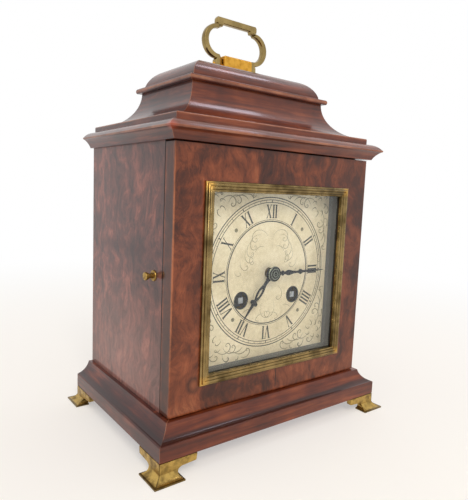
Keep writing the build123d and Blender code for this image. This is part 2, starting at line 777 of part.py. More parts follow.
def stepped(start, angle, distance):
    """A point at a distance and an angle in degrees from another point."""
    turn = math.radians(angle)
    return (start[0] + distance * math.cos(turn), start[1] + distance * math.sin(turn))


def meet(first, first_distance, second, second_distance, side):
    """The point at given distances from two others, on one side of the line between them."""
    span = math.dist(first, second)
    along = (first_distance ** 2 - second_distance ** 2 + span ** 2) / (2 * span)
    off = side * math.sqrt(first_distance ** 2 - along ** 2)
    ux = (second[0] - first[0]) / span
    uz = (second[1] - first[1]) / span
    return (first[0] + along * ux - off * uz, first[1] + along * uz + off * ux)


arbor_r = 1.1
pivot_r = 0.7
arbor_play = 0.4
pivot_short = 0.2
great_teeth = 60
great_module = 0.6
great_leaves = 10
second_teeth = 56
second_module = 0.5
centre_leaves = 8
centre_teeth = 60
centre_module = 0.45
third_leaves = 8
third_teeth = 64
third_module = 0.4
fourth_leaves = 8
fourth_teeth = 70
fourth_module = 0.36
escape_leaves = 7
pin_teeth = 52
pin_module = 0.5
strike_leaves = 8
strike_teeth = 56
strike_module = 0.4
fly_leaves = 7
cannon_leaves = 12
minute_teeth = 36
minute_module = 0.5
minute_leaves = 10
hour_teeth = 40
hour_module = 0.48
mesh_play = 0.06


def distance_between(teeth, leaves, module):
    """The distance between two arbors in mesh, with the play that their teeth need."""
    return (teeth + leaves) * module / 2 + mesh_play


centre = (0.0, 0.0)
going_at = (winding_spread, -winding_drop)
strike_at = (-winding_spread, -winding_drop)
second_at = meet(
    centre, distance_between(second_teeth, centre_leaves, second_module),
    going_at, distance_between(great_teeth, great_leaves, great_module), 1)
third_at = stepped(centre, 105.0, distance_between(centre_teeth, third_leaves, centre_module))
fourth_at = stepped(third_at, 74.0, distance_between(third_teeth, fourth_leaves, third_module))
escape_at = stepped(fourth_at, 20.0, distance_between(fourth_teeth, escape_leaves, fourth_module))
pin_at = (-second_at[0], second_at[1])
strike_third_at = stepped(pin_at, 125.0, distance_between(pin_teeth, strike_leaves, pin_module))
fly_at = stepped(strike_third_at, 100.0, distance_between(strike_teeth, fly_leaves, strike_module))
minute_at = stepped(centre, 45.0, distance_between(minute_teeth, cannon_leaves, minute_module))
hammer_at = (-36.0, 6.0)

# Motion work between the dial and the front plate
minute_plane = plate_front - 2.6
hour_plane = minute_plane - 2.2
wheel_thickness = 1.2
cannon_phase = 0.0
minute_phase = meshed_phase(centre, cannon_leaves, cannon_phase, minute_at, minute_teeth)
hour_phase = meshed_phase(minute_at, minute_leaves, 0.0, centre, hour_teeth)
cannon = gear(centre, cannon_leaves, minute_module, cannon_phase, minute_plane - 0.4, plate_front - 0.6)
cannon += rod(0, dial_z, cannon_r, minute_hand_front, minute_plane)
cannon -= rod(0, dial_z, cannon_bore_r, 0, plate_front + 1)
save(cannon, "cannon_pinion")

minute_stud_r = 1.0
minute_wheel = gear(
    minute_at, minute_teeth, minute_module, minute_phase, minute_plane, minute_plane + wheel_thickness)
minute_wheel += gear(minute_at, minute_leaves, hour_module, 0.0, hour_plane - 0.4, minute_plane)
minute_wheel -= rod(minute_at[0], dial_z + minute_at[1], minute_stud_r + running, dial_back, plate_front + 1)
save(minute_wheel, "minute_wheel")

hour_wheel = gear(centre, hour_teeth, hour_module, hour_phase, hour_plane, hour_plane + wheel_thickness)
hour_wheel += rod(0, dial_z, hour_pipe_r, hour_hand_front, hour_plane)
hour_wheel -= rod(0, dial_z, hour_bore_r, 0, plate_front + 1)
save(hour_wheel, "hour_wheel")

# Spring barrels, their winding arbors with ratchet wheels, and the clicks
drum_r = 16.8
drum_front = plate_back + 8.5
drum_back = drum_front + 20.0
great_thickness = 2.4
barrel_arbor_r = 2.5
winding_square = 3.6
square_front = dial_front + 0.4
ratchet_front = plate_front - 2.4
ratchet_thickness = 1.6
ratchet_r = 7.4
ratchet_teeth = 16
click_clear = 0.5
click_pivot_distance = 12.6


def barrel(at, great_front, great_phase):
    """A closed drum with its great wheel, bored to turn on the winding arbor."""
    x = at[0]
    z = dial_z + at[1]
    drum = rod(x, z, drum_r, drum_front, drum_back)
    drum += gear(at, great_teeth, great_module, great_phase, great_front, great_front + great_thickness)
    drum -= rod(x, z, drum_r - 1.4, drum_front + 1.2, drum_back - 1.2)
    drum += rod(x, z, barrel_arbor_r + 2.0, drum_front, drum_front + 2.4)
    drum += rod(x, z, barrel_arbor_r + 2.0, drum_back - 2.4, drum_back)
    return drum - rod(x, z, barrel_arbor_r + running, drum_front - 1, drum_back + 1)


def ratchet_points(at):
    points = []
    for tooth in range(ratchet_teeth):
        base = tooth * 2 * math.pi / ratchet_teeth
        for share, radius in ((0.0, ratchet_r), (0.12, ratchet_r - 1.2)):
            angle = base + share * 2 * math.pi / ratchet_teeth
            points.append((at[0] + radius * math.cos(angle), dial_z + at[1] + radius * math.sin(angle)))
    return points


def winding_arbor(at):
    """An arbor with its core in the barrel, its ratchet wheel and the square that takes the key."""
    x = at[0]
    z = dial_z + at[1]
    shaft = rod(x, z, barrel_arbor_r, plate_front - 4.0, rear_plate_back)
    shaft += rod(x, z, barrel_arbor_r + 2.6, drum_front + 3.0, drum_back - 3.0)
    shaft += plate(ratchet_points(at), ratchet_front, ratchet_front + ratchet_thickness)
    side = winding_square / 2
    return shaft + block(x - side, x + side, square_front, plate_front - 3.0, z - side, z + side)


def click(at, side):
    """A click on its screw, held just clear of the ratchet teeth."""
    pivot = (at[0] + side * click_pivot_distance * math.cos(0.35), at[1] + click_pivot_distance * math.sin(0.35))
    nose_angle = 0.95
    nose_r = ratchet_r + click_clear
    nose = (at[0] + side * nose_r * math.cos(nose_angle), at[1] + nose_r * math.sin(nose_angle))
    pivot_x, pivot_z = pivot[0], dial_z + pivot[1]
    nose_x, nose_z = nose[0], dial_z + nose[1]
    out_x = side * 0.8
    arm = plate([
        (pivot_x - side * 0.4, pivot_z - 1.6), (pivot_x + side * 1.4, pivot_z + 1.0),
        (nose_x + out_x + side * 1.2, nose_z + 1.9), (nose_x + out_x * 0.2, nose_z + 0.4)],
        ratchet_front, ratchet_front + ratchet_thickness)
    arm += rod(pivot_x, pivot_z, 2.0, ratchet_front, ratchet_front + ratchet_thickness)
    arm -= rod(pivot_x, pivot_z, pivot_r + running, ratchet_front - 1, plate_front)
    return arm, pivot


going_great_front = drum_back - great_thickness
strike_great_front = drum_front
second_pinion_phase = 0.0
great_phase = meshed_phase(second_at, great_leaves, second_pinion_phase, going_at, great_teeth)
save(barrel(going_at, going_great_front, great_phase), "going_barrel")
strike_phase = meshed_phase(pin_at, great_leaves, 0.0, strike_at, great_teeth)
save(barrel(strike_at, strike_great_front, strike_phase), "strike_barrel")
save(winding_arbor(going_at), "going_winding_arbor")
save(winding_arbor(strike_at), "strike_winding_arbor")
going_click, going_click_at = click(going_at, 1)
strike_click, strike_click_at = click(strike_at, -1)
save(going_click, "going_click")
save(strike_click, "strike_click")


# Arbors: each turns between the plates on thinner pivots
def arbor(at):
    x = at[0]
    z = dial_z + at[1]
    shaft = rod(x, z, arbor_r, plate_back + arbor_play, rear_plate_front - arbor_play)
    return shaft + rod(x, z, pivot_r, plate_front, rear_plate_back - pivot_short)


second_plane = plate_back + 3.6
centre_plane = plate_back + 6.4
third_plane = plate_back + 21.5
fourth_plane = rear_plate_front - 3.2
pin_plane = rear_plate_front - 3.4
strike_plane = plate_back + 15.5

second_phase = 0.0
centre_pinion_phase = meshed_phase(second_at, second_teeth, second_phase, centre, centre_leaves)
third_pinion_phase = meshed_phase(centre, centre_teeth, 0.0, third_at, third_leaves)
fourth_pinion_phase = meshed_phase(third_at, third_teeth, 0.0, fourth_at, fourth_leaves)
escape_pinion_phase = meshed_phase(fourth_at, fourth_teeth, 0.0, escape_at, escape_leaves)

second = crossed(
    second_at, second_teeth, second_module, second_phase, second_plane, second_plane + wheel_thickness, 3.2)
second += gear(second_at, great_leaves, great_module, second_pinion_phase, drum_back - 4.0, drum_back + 1.0)
second += arbor(second_at)
save(second, "going_second_wheel")

centre_wheel = crossed(
    centre, centre_teeth, centre_module, 0.0, centre_plane, centre_plane + wheel_thickness, 3.2)
centre_wheel += gear(
    centre, centre_leaves, second_module, centre_pinion_phase, second_plane - 1.0, second_plane + 2.4)
centre_wheel += rod(0, dial_z, arbor_r, plate_back + arbor_play, rear_plate_front - arbor_play)
centre_wheel += rod(0, dial_z, centre_arbor_r, hand_nut_front + 1.0, rear_plate_back)
save(centre_wheel, "centre_wheel")

third = crossed(third_at, third_teeth, third_module, 0.0, third_plane, third_plane + wheel_thickness, 3.0)
third += gear(third_at, third_leaves, centre_module, third_pinion_phase, centre_plane - 1.0, centre_plane + 2.2)
third += arbor(third_at)
save(third, "third_wheel")

fourth = crossed(fourth_at, fourth_teeth, fourth_module, 0.0, fourth_plane, fourth_plane + wheel_thickness, 3.0)
fourth += gear(fourth_at, fourth_leaves, third_module, fourth_pinion_phase, third_plane - 1.0, third_plane + 2.2)
fourth += arbor(fourth_at)
save(fourth, "fourth_wheel")

pin_phase = 0.0
pin_wheel = crossed(pin_at, pin_teeth, pin_module, pin_phase, pin_plane, pin_plane + wheel_thickness, 3.0)
pin_wheel += gear(pin_at, great_leaves, great_module, 0.0, drum_front - 0.5, drum_front + 4.0)
pin_wheel += arbor(pin_at)
hammer_pins = 8
pin_ring = pin_teeth * pin_module / 2 - 2.2 * pin_module
for count in range(hammer_pins):
    at = stepped(pin_at, count * 360 / hammer_pins, pin_ring)
    pin_wheel += rod(at[0], dial_z + at[1], 0.45, drum_back + 0.4, pin_plane + wheel_thickness)
save(pin_wheel, "pin_wheel")

strike_pinion_phase = meshed_phase(pin_at, pin_teeth, pin_phase, strike_third_at, strike_leaves)
strike_third = crossed(
    strike_third_at, strike_teeth, strike_module, 0.0, strike_plane, strike_plane + wheel_thickness, 3.0)
strike_third += gear(
    strike_third_at, strike_leaves, pin_module, strike_pinion_phase, pin_plane - 1.0, pin_plane + 2.0)
strike_third += arbor(strike_third_at)
save(strike_third, "strike_third_wheel")

fly_pinion_phase = meshed_phase(strike_third_at, strike_teeth, 0.0, fly_at, fly_leaves)
fly = gear(fly_at, fly_leaves, strike_module, fly_pinion_phase, strike_plane - 1.0, strike_plane + 2.2)
fly += arbor(fly_at)
fly_front = strike_plane + 4.0
fly_x = fly_at[0]
fly_z = dial_z + fly_at[1]
fly += block(fly_x - 6.5, fly_x + 6.5, fly_front, fly_front + 9.0, fly_z - 0.4, fly_z + 0.4)
save(fly, "fly")

# Hammer: its arbor runs through both plates, and its arm hangs behind the back plate beside the gong
hammer_x = hammer_at[0]
hammer_z = dial_z + hammer_at[1]
arm_plane = rear_plate_back + 1.6
head_y = gong_behind + gong_depth / 2
head_r = 3.6
head_length = 8.0
head_z = foot_height + gong_centre_height
gong_outer = gong_first_r + gong_pitch / 2 * (gong_turns - 1) + gong_wire / 2
gong_left = -(gong_outer + gong_pitch / 4)
head_right = gong_left - 1.2
hammer = rod(hammer_x, hammer_z, arbor_r, plate_back + arbor_play, rear_plate_front - arbor_play)
hammer += rod(hammer_x, hammer_z, pivot_r, plate_front, arm_plane + 1.6)
arm_left = head_right - head_length / 2 - 1.5
hammer += plate([
    (hammer_x - 2.0, hammer_z + 2.4), (hammer_x + 2.0, hammer_z + 2.4), (hammer_x + 2.0, hammer_z - 3.0),
    (arm_left + 3.0, head_z - 1.5), (arm_left, head_z - 1.5), (hammer_x - 2.0, hammer_z - 3.0)],
    arm_plane, arm_plane + 1.6)
hammer += rod(arm_left + 1.5, head_z, 1.3, arm_plane + 1.0, head_y + 1.0)
hammer += cross_rod(head_y, head_z, head_r, head_right - head_length, head_right)
tail_end = pin_at[0] - pin_ring - 1.1
hammer += plate([
    (hammer_x, hammer_z + 1.0), (hammer_x, hammer_z - 1.0), (tail_end, hammer_z - 0.8),
    (tail_end, hammer_z + 0.2)], drum_back + 0.5, pin_plane - 0.3)
save(hammer, "hammer")

# Escapement platform on the back plate: pallet lever and balance wheel on a line beside the escape wheel
platform_front = rear_plate_back
platform_thickness = 1.5
platform_face = platform_front + platform_thickness
escape_plane = platform_face + 1.8
escape_r = 4.2
escape_x = escape_at[0]
escape_z = dial_z + escape_at[1]
lever_x = escape_x - 6.6
balance_x = lever_x - 9.8
balance_r = 8.0
balance_plane = escape_plane + 2.6
thin_pivot_r = 0.35
staff_end = balance_plane + 3.0


def escape_points():
    points = []
    for tooth in range(15):
        base = tooth * 2 * math.pi / 15
        tooth_shape = (
            (0.0, escape_r), (0.22, escape_r - 0.1), (0.42, escape_r - 1.3), (0.86, escape_r - 1.3))
        for share, radius in tooth_shape:
            angle = base + share * 2 * math.pi / 15
            points.append((escape_x + radius * math.cos(angle), escape_z + radius * math.sin(angle)))
    return points


escape = plate(escape_points(), escape_plane, escape_plane + 0.7)
escape += rod(escape_x, escape_z, 0.6, platform_face + clear, escape_plane + 1.5)
escape += rod(escape_x, escape_z, thin_pivot_r, fourth_plane + 1.0, escape_plane + 3.0)
escape += gear(
    escape_at, escape_leaves, fourth_module, escape_pinion_phase, fourth_plane - 0.8, fourth_plane + 2.0)
save(escape, "escape_wheel")

fork_reach = 6.2
lever = plate([
    (lever_x - fork_reach, escape_z - 0.35), (lever_x + 0.4, escape_z - 0.6), (lever_x + 1.0, escape_z - 4.6),
    (lever_x + 2.4, escape_z - 5.0), (lever_x + 1.4, escape_z - 0.5), (lever_x + 1.4, escape_z + 0.5),
    (lever_x + 2.4, escape_z + 5.0), (lever_x + 1.0, escape_z + 4.6), (lever_x + 0.4, escape_z + 0.6),
    (lever_x - fork_reach, escape_z + 0.35)], escape_plane, escape_plane + 0.7)
lever += rod(lever_x, escape_z, 0.6, platform_face + 0.3, escape_plane + 1.5)
lever += rod(lever_x, escape_z, thin_pivot_r, platform_front + 0.2, escape_plane + 3.0)
save(lever, "pallet_lever")

balance = rod(balance_x, escape_z, balance_r, balance_plane, balance_plane + 1.2)
balance -= rod(balance_x, escape_z, balance_r - 1.3, balance_plane - 1, balance_plane + 3)
balance += block(
    balance_x - balance_r + 0.6, balance_x + balance_r - 0.6, balance_plane, balance_plane + 0.8,
    escape_z - 0.9, escape_z + 0.9)
balance += rod(balance_x, escape_z, 0.7, platform_face + 0.4, staff_end - 0.5)
balance += rod(balance_x, escape_z, thin_pivot_r, platform_front + 0.2, staff_end + 0.8)
balance += rod(balance_x, escape_z, 1.9, escape_plane + 1.4, escape_plane + 2.0)
save(balance, "balance_wheel")

platform_left = balance_x - balance_r - 6.0
platform_right = escape_x + escape_r + 5.0
platform = block(
    platform_left, platform_right, platform_front, platform_face, escape_z - 10.0, escape_z + 10.0)
bearing_r = thin_pivot_r + running
for bearing_x in (lever_x, balance_x):
    platform -= rod(bearing_x, escape_z, bearing_r, platform_front - 1, platform_face + 1)
platform -= rod(escape_x, escape_z, bearing_r, platform_front - 1, platform_face + 1)
balance_cock = block(
    platform_left + 0.5, platform_left + 5.0, platform_face, staff_end + 1.6, escape_z - 5.0, escape_z + 5.0)
balance_cock += block(
    platform_left + 0.5, balance_x + 2.4, staff_end, staff_end + 1.6, escape_z - 2.4, escape_z + 2.4)
balance_cock -= rod(balance_x, escape_z, bearing_r, staff_end - 1, staff_end + 3)
cock_left = balance_x + balance_r + 0.5
escape_cock = block(
    platform_right - 4.0, platform_right - 0.5, platform_face, escape_plane + 3.3, escape_z - 5.0, escape_z + 5.0)
escape_cock += block(
    cock_left, platform_right - 0.5, escape_plane + 2.0, escape_plane + 3.3, escape_z - 2.2, escape_z + 2.2)
for bearing_x in (lever_x, escape_x):
    escape_cock -= rod(bearing_x, escape_z, bearing_r, escape_plane + 1, escape_plane + 5)
save(Compound([platform, balance_cock, escape_cock]), "escapement_platform")

# Plates, pillars, screws and the seat board
pillar_x = plate_width / 2 - pillar_inset
pillar_z = plate_height / 2 - pillar_inset
front_plate = block(
    -plate_width / 2, plate_width / 2, plate_front, plate_back, plates_bottom, plates_bottom + plate_height)
back_plate = block(
    -plate_width / 2, plate_width / 2, rear_plate_front, rear_plate_back, plates_bottom,
    plates_bottom + plate_height)
pillars = []
movement_screws = []
for side in (-1, 1):
    for level in (-1, 1):
        x = side * pillar_x
        z = dial_z + level * pillar_z
        tap = screw_r + fit
        pillar = rod(x, z, pillar_r, plate_back, rear_plate_front)
        pillar -= rod(x, z, tap, plate_back - 1, plate_back + 6.5)
        pillar -= rod(x, z, tap, rear_plate_front - 6.5, rear_plate_front + 1)
        if level < 0:
            pillar -= post(x, (plate_back + rear_plate_front) / 2, tap, z - pillar_r - 1, z)
            screw_y = (plate_back + rear_plate_front) / 2
            low = seat_bottom - screw_head
            movement_screws.append(
                post(x, screw_y, screw_head_r, low, seat_bottom) + post(x, screw_y, screw_r, low, z - 0.5))
        pillars.append(pillar)
        movement_screws.append(
            rod(x, z, screw_head_r, plate_front - screw_head, plate_front)
            + rod(x, z, screw_r, plate_front - screw_head, plate_back + 6.0))
        movement_screws.append(
            rod(x, z, screw_head_r, rear_plate_back, rear_plate_back + screw_head)
            + rod(x, z, screw_r, rear_plate_front - 6.0, rear_plate_back + screw_head))
        front_plate -= rod(x, z, tap, plate_front - 1, plate_back + 1)
        back_plate -= rod(x, z, tap, rear_plate_front - 1, rear_plate_back + 1)
        foot_x = side * foot_offset
        foot_z = dial_z + level * foot_offset
        front_plate -= rod(foot_x, foot_z, dial_foot_tip_r + fit, plate_front - 1, plate_back + 1)
pivots = (second_at, third_at, fourth_at, pin_at, strike_third_at, fly_at, hammer_at)
for at in pivots:
    hole = rod(at[0], dial_z + at[1], pivot_r + hole_play, plate_front - 1, rear_plate_back + 1)
    front_plate -= hole
    back_plate -= hole
centre_hole = rod(0, dial_z, centre_arbor_r + hole_play, plate_front - 1, rear_plate_back + 1)
front_plate -= centre_hole
back_plate -= centre_hole
for at in (going_at, strike_at):
    hole = rod(at[0], dial_z + at[1], barrel_arbor_r + hole_play, plate_front - 1, rear_plate_back + 1)
    front_plate -= hole
    back_plate -= hole
back_plate -= rod(escape_x, escape_z, 2.6, rear_plate_front - 1, rear_plate_back + 1)
front_plate += rod(
    minute_at[0], dial_z + minute_at[1], minute_stud_r, hour_plane - 1.0, plate_front + 0.5)
for at in (going_click_at, strike_click_at):
    front_plate += rod(at[0], dial_z + at[1], pivot_r, ratchet_front - 0.4, plate_front + 0.5)
save(front_plate, "front_plate")
save(back_plate, "back_plate")
save(Compound(pillars), "plate_pillars")
save(Compound(movement_screws), "movement_screws")

seat_front = case_front + surround_thickness + 1.0
seat_board = block(
    -inner_half, inner_half, seat_front, seat_front + seat_board_depth, seat_bottom, plates_bottom)
for side in (-1, 1):
    seat_board -= post(
        side * pillar_x, (plate_back + rear_plate_front) / 2, screw_r + fit, seat_bottom - 1, plates_bottom + 1)
save(seat_board, "seat_board")

# Back door, with a turning knob: its bar hangs down while the door is free, and a quarter turn brings it into
# the slot in the left side board
back_front = case_depth - back_door_thickness
back_half = back_inner_half - back_door_gap
back_door = block(
    -back_half, back_half, back_front, case_depth, plinth_top + back_door_gap, body_top - back_door_gap)
field_bottom = plinth_top + back_door_gap + back_field
field_top = body_top - back_door_gap - back_field
field_half = back_half - back_field
field = block(
    -field_half, field_half, case_depth - back_field_depth, case_depth + 1, field_bottom, field_top)
raised = block(
    -field_half + 6, field_half - 6, case_depth - back_field_depth - 1, case_depth,
    field_bottom + 6, field_top - 6)
raised = chamfer(raised.edges().group_by(Axis.Y)[-1], back_field_depth * 0.8)
back_door = back_door - field + (raised & field) + (raised - field)
for z in back_hinge_z:
    back_door -= back_hinge_room(z)
back_door -= rod(knob_x, knob_z, spindle_r + running, back_front - 1, case_depth + 1)
save(back_door, "back_door")

knob = rod(knob_x, knob_z, spindle_r, back_front - 0.4, case_depth + 1.0)
grip = rod(knob_x, knob_z, knob_r, case_depth + clear + 1.6, case_depth + clear + 1.6 + knob_length * 0.5)
knob += fillet(grip.edges().group_by(Axis.Y)[-1], 0.8)
knob += rod(knob_x, knob_z, knob_r * 0.6, case_depth + clear, case_depth + clear + 2.0)
knob += block(
    knob_x - turn_bar_width / 2, knob_x + turn_bar_width / 2,
    bar_back - turn_bar_thickness, bar_back, knob_z - bar_reach, knob_z + turn_bar_width / 2)
save(knob, "back_door_knob")

# Gong: a flat coil of half rings whose centres change sides, on a post that stands on the plinth
gong_z = foot_height + gong_centre_height
gong = None
for turn in range(gong_turns):
    ring_r = gong_first_r + turn * gong_pitch / 2
    shift = (gong_pitch / 4) * (1 if turn % 2 else -1)
    ring = rod(shift, gong_z, ring_r + gong_wire / 2, gong_behind, gong_behind + gong_depth)
    ring -= rod(shift, gong_z, ring_r - gong_wire / 2, gong_behind - 1, gong_behind + gong_depth + 1)
    reach = 2 * gong_outer
    keep_top = turn % 2 == 0
    low = gong_z if keep_top else gong_z - reach
    ring = ring & block(-reach, reach, gong_behind - 2, gong_behind + gong_depth + 2, low, low + reach)
    gong = ring if gong is None else gong + ring
inner_end = -gong_pitch / 4 - gong_first_r
gong += block(
    inner_end - gong_wire / 2, 3.0, gong_behind, gong_behind + gong_depth, gong_z - 2.0, gong_z)
save(gong, "gong_coil")

stand_y = gong_behind + gong_depth
stand = block(-stand_width / 2, stand_width / 2, stand_y, stand_y + stand_depth, plinth_top, gong_z + 6.0)
stand += block(
    -stand_width, stand_width, stand_y, stand_y + stand_depth + 6.0, plinth_top, plinth_top + 5.0)
save(stand, "gong_stand")
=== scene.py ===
# %% [markdown]
# # A bracket clock, dressed on its measured frame
# The CAD model comes first: it says where each piece is and how it moves. This lesson adds what the eye
# wants: softened edges, reeding, engraving and polish. The frame is in metres, with the origin on the floor
# under the middle of the clock, X to the right, Y to the back and Z up.

# %% Load the frame
import bpy
import math
from mathutils import Matrix, Vector


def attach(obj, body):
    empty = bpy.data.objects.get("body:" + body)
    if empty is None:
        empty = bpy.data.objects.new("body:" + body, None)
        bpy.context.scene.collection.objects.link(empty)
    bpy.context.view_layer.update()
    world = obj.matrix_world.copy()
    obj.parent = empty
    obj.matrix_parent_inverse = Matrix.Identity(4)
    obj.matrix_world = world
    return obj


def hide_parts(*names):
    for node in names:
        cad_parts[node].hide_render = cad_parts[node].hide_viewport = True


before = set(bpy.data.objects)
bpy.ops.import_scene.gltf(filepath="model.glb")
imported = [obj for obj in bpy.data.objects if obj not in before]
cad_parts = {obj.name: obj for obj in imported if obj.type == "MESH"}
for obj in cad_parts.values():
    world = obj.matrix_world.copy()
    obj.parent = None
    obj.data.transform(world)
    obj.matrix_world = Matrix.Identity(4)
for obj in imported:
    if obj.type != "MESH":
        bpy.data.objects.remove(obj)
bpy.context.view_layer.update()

# %% [markdown]
# A new file holds a cube, a lamp and a camera that aren't part of the clock. They go first, and nothing is
# left selected, because an operator acts on all that is selected.

# %% Clear the bench
for spare in ("Cube", "Light", "Camera"):
    if spare in bpy.data.objects:
        bpy.data.objects.remove(bpy.data.objects[spare])
bpy.ops.object.select_all(action="DESELECT")

# %% [markdown]
# Sizes are written in millimetres, as on a drawing, and turned to metres where Blender reads them. A piece is
# made where it is easiest to shape, then turned, moved to its place and settled, so that its object stays at
# the origin and its place is in its mesh.

# %% Take, settle and place a piece
MM = 0.001


def new_piece(name, data):
    """An object in the scene that shows this mesh, curve, lamp or camera."""
    piece = bpy.data.objects.new(name, data)
    bpy.context.scene.collection.objects.link(piece)
    return piece


def take(piece):
    """Makes a piece the only selected one, so that the next operator acts on it alone."""
    bpy.ops.object.select_all(action="DESELECT")
    piece.select_set(True)
    bpy.context.view_layer.objects.active = piece


def settle(piece):
    """Moves an object's place, turn and size into its mesh."""
    take(piece)
    bpy.ops.object.transform_apply(location=True, rotation=True, scale=True)


def put(piece, place_mm, turn=(0, 0, 0)):
    """Turns a piece by degrees about X, Y and Z, moves it by millimetres, and settles it."""
    piece.rotation_euler = [math.radians(angle) for angle in turn]
    piece.location = [c * MM for c in place_mm]
    settle(piece)


# %% Start and end the editing of a mesh
def edit_all():
    """Opens the selected piece in edit mode, with all of its mesh selected."""
    bpy.ops.object.mode_set(mode="EDIT")
    bpy.ops.mesh.select_all(action="SELECT")


def close_up(merge_mm=None):
    """Merges doubles if a distance is given, turns the faces outwards and leaves edit mode."""
    bpy.ops.mesh.select_all(action="SELECT")
    if merge_mm:
        bpy.ops.mesh.remove_doubles(threshold=merge_mm * MM)
    bpy.ops.mesh.normals_make_consistent(inside=False)
    bpy.ops.object.mode_set(mode="OBJECT")


# %% [markdown]
# Real arrises are never sharp. A narrow bevel catches a line of light along each edge, as sanding and polish
# do, and weighted normals keep the broad faces flat beside it.

# %% Soften the arrises of a piece
def smooth(degrees):
    """Smooths the shading of the selected piece, apart from the edges that turn by more than this."""
    bpy.ops.object.shade_smooth_by_angle(angle=math.radians(degrees))


def soften(piece, width_mm, corner=28.0):
    """Bevels each edge that turns by more than the corner angle, and smooths what is left."""
    take(piece)
    bevel = piece.modifiers.new("arris", "BEVEL")
    bevel.width = width_mm * MM
    bevel.segments = 2
    bevel.limit_method = "ANGLE"
    bevel.angle_limit = math.radians(corner)
    bpy.ops.object.modifier_apply(modifier="arris")
    smooth(35)
    weighted = piece.modifiers.new("flat faces", "WEIGHTED_NORMAL")
    weighted.keep_sharp = True
    bpy.ops.object.modifier_apply(modifier="flat faces")


# %% [markdown]
# Where the CAD solid has the right shape already, a copy of it is cleaned instead of being drawn again. The
# CAD mesh is loose triangles, so the copy's doubles are merged, its flat faces are joined, and its edges are
# softened.

# %% Dress a copy of a CAD piece
def dressed_copy(node, name, width_mm, corner=28.0):
    """A cleaned copy of a CAD node's mesh with softened edges, which stands for the node."""
    piece = new_piece(name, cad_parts[node].data.copy())
    piece.data.materials.clear()
    take(piece)
    edit_all()
    bpy.ops.mesh.remove_doubles(threshold=0.004 * MM)
    bpy.ops.mesh.dissolve_limited(angle_limit=math.radians(0.6))
    bpy.ops.object.mode_set(mode="OBJECT")
    soften(piece, width_mm, corner)
    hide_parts(node)
    return piece


# %% [markdown]
# ## Finishes
# Colours are written as the sRGB values that a paint or a screen shows. Blender works in linear light, so one
# function turns them. A second one sets or links a node's sockets, and a third adds a node with its settings.

# %% Colour and node helpers
def linear(hex_colour):
    """An sRGB hex value as linear RGBA."""
    parts = [int(hex_colour[i:i + 2], 16) / 255 for i in (1, 3, 5)]
    return tuple(p / 12.92 if p <= 0.04045 else ((p + 0.055) / 1.055) ** 2.4 for p in parts) + (1.0,)


def feed(node, inputs):
    """Sets or links sockets. A node stands for its first output in use, and a hex value for its colour."""
    for socket, value in inputs.items():
        if isinstance(value, bpy.types.Node):
            value = next(output for output in value.outputs if output.enabled)
        if isinstance(value, bpy.types.NodeSocket):
            node.id_data.links.new(value, node.inputs[socket])
        else:
            node.inputs[socket].default_value = linear(value) if isinstance(value, str) else value


def add(tree, kind, inputs=None, stops=(), **settings):
    """Adds a node: its kind without ShaderNode in front, its inputs, a ramp's stops and its own settings."""
    made = tree.nodes.new("ShaderNode" + kind)
    for key, value in settings.items():
        setattr(made, key, value)
    feed(made, inputs or {})
    if stops:
        elements = made.color_ramp.elements
        while len(elements) < len(stops):
            elements.new(1.0)
        for element, (position, colour) in zip(elements, stops):
            element.position = position
            element.color = linear(colour)
    return made


# %% Begin a material
def begin(name):
    """A new material: its tree, its shader and the place on the piece in metres."""
    made = bpy.data.materials.new(name)
    made.use_nodes = True
    tree = made.node_tree
    place = add(tree, "TexCoord").outputs["Object"]
    return made, tree, tree.nodes["Principled BSDF"], place


def per_mm(size):
    """A pattern scale whose marks are about this many millimetres across."""
    return 1.0 / (size * MM)


# %% [markdown]
# The wood is French polished: many thin coats of shellac stand as a clear skin over it. The colour is in the
# base, and the skin is the shader's coat, with the IOR of a resin.

# %% Shellac skin
def polish(shader, coat, coat_rough):
    """A clear skin of shellac over wood that itself shines little."""
    feed(shader, {"IOR": 1.5, "Specular IOR Level": 0.15, "Coat Weight": coat, "Coat Roughness": coat_rough,
                  "Coat IOR": 1.5})


# %% [markdown]
# The veneer on the case is a figured, mottled sheet. Its flames are some 20 to 35 mm across, with a softer
# mottle a third of that size, and pores a fraction of a millimetre wide. The coordinates are bent by slow
# noise first, because wood figure is never straight. A knot or a dark band is a single mark, laid over the
# figure with an edge that the grain breaks up.

# %% One mark on the veneer
def marked(tree, place, feather, under, tone, centre, size, soft, strength):
    """Lays a mark over what is under it: its tone, its centre and half size in mm, and its soft edge."""
    shifted = add(tree, "VectorMath", {0: place, 1: [c * MM for c in centre]}, operation="SUBTRACT")
    scaled = add(tree, "VectorMath", {0: shifted, 1: [1 / (c * MM) for c in size]}, operation="MULTIPLY")
    away = add(tree, "VectorMath", {0: scaled}, operation="LENGTH")
    share = add(tree, "MapRange", {
        "Value": away, "From Min": 1.0 - soft, "From Max": 1.0, "To Min": strength, "To Max": 0.0})
    broken = add(tree, "Math", {0: share, 1: feather}, operation="MULTIPLY")
    return add(tree, "Mix", {0: broken, 6: under, 7: tone}, data_type="RGBA")


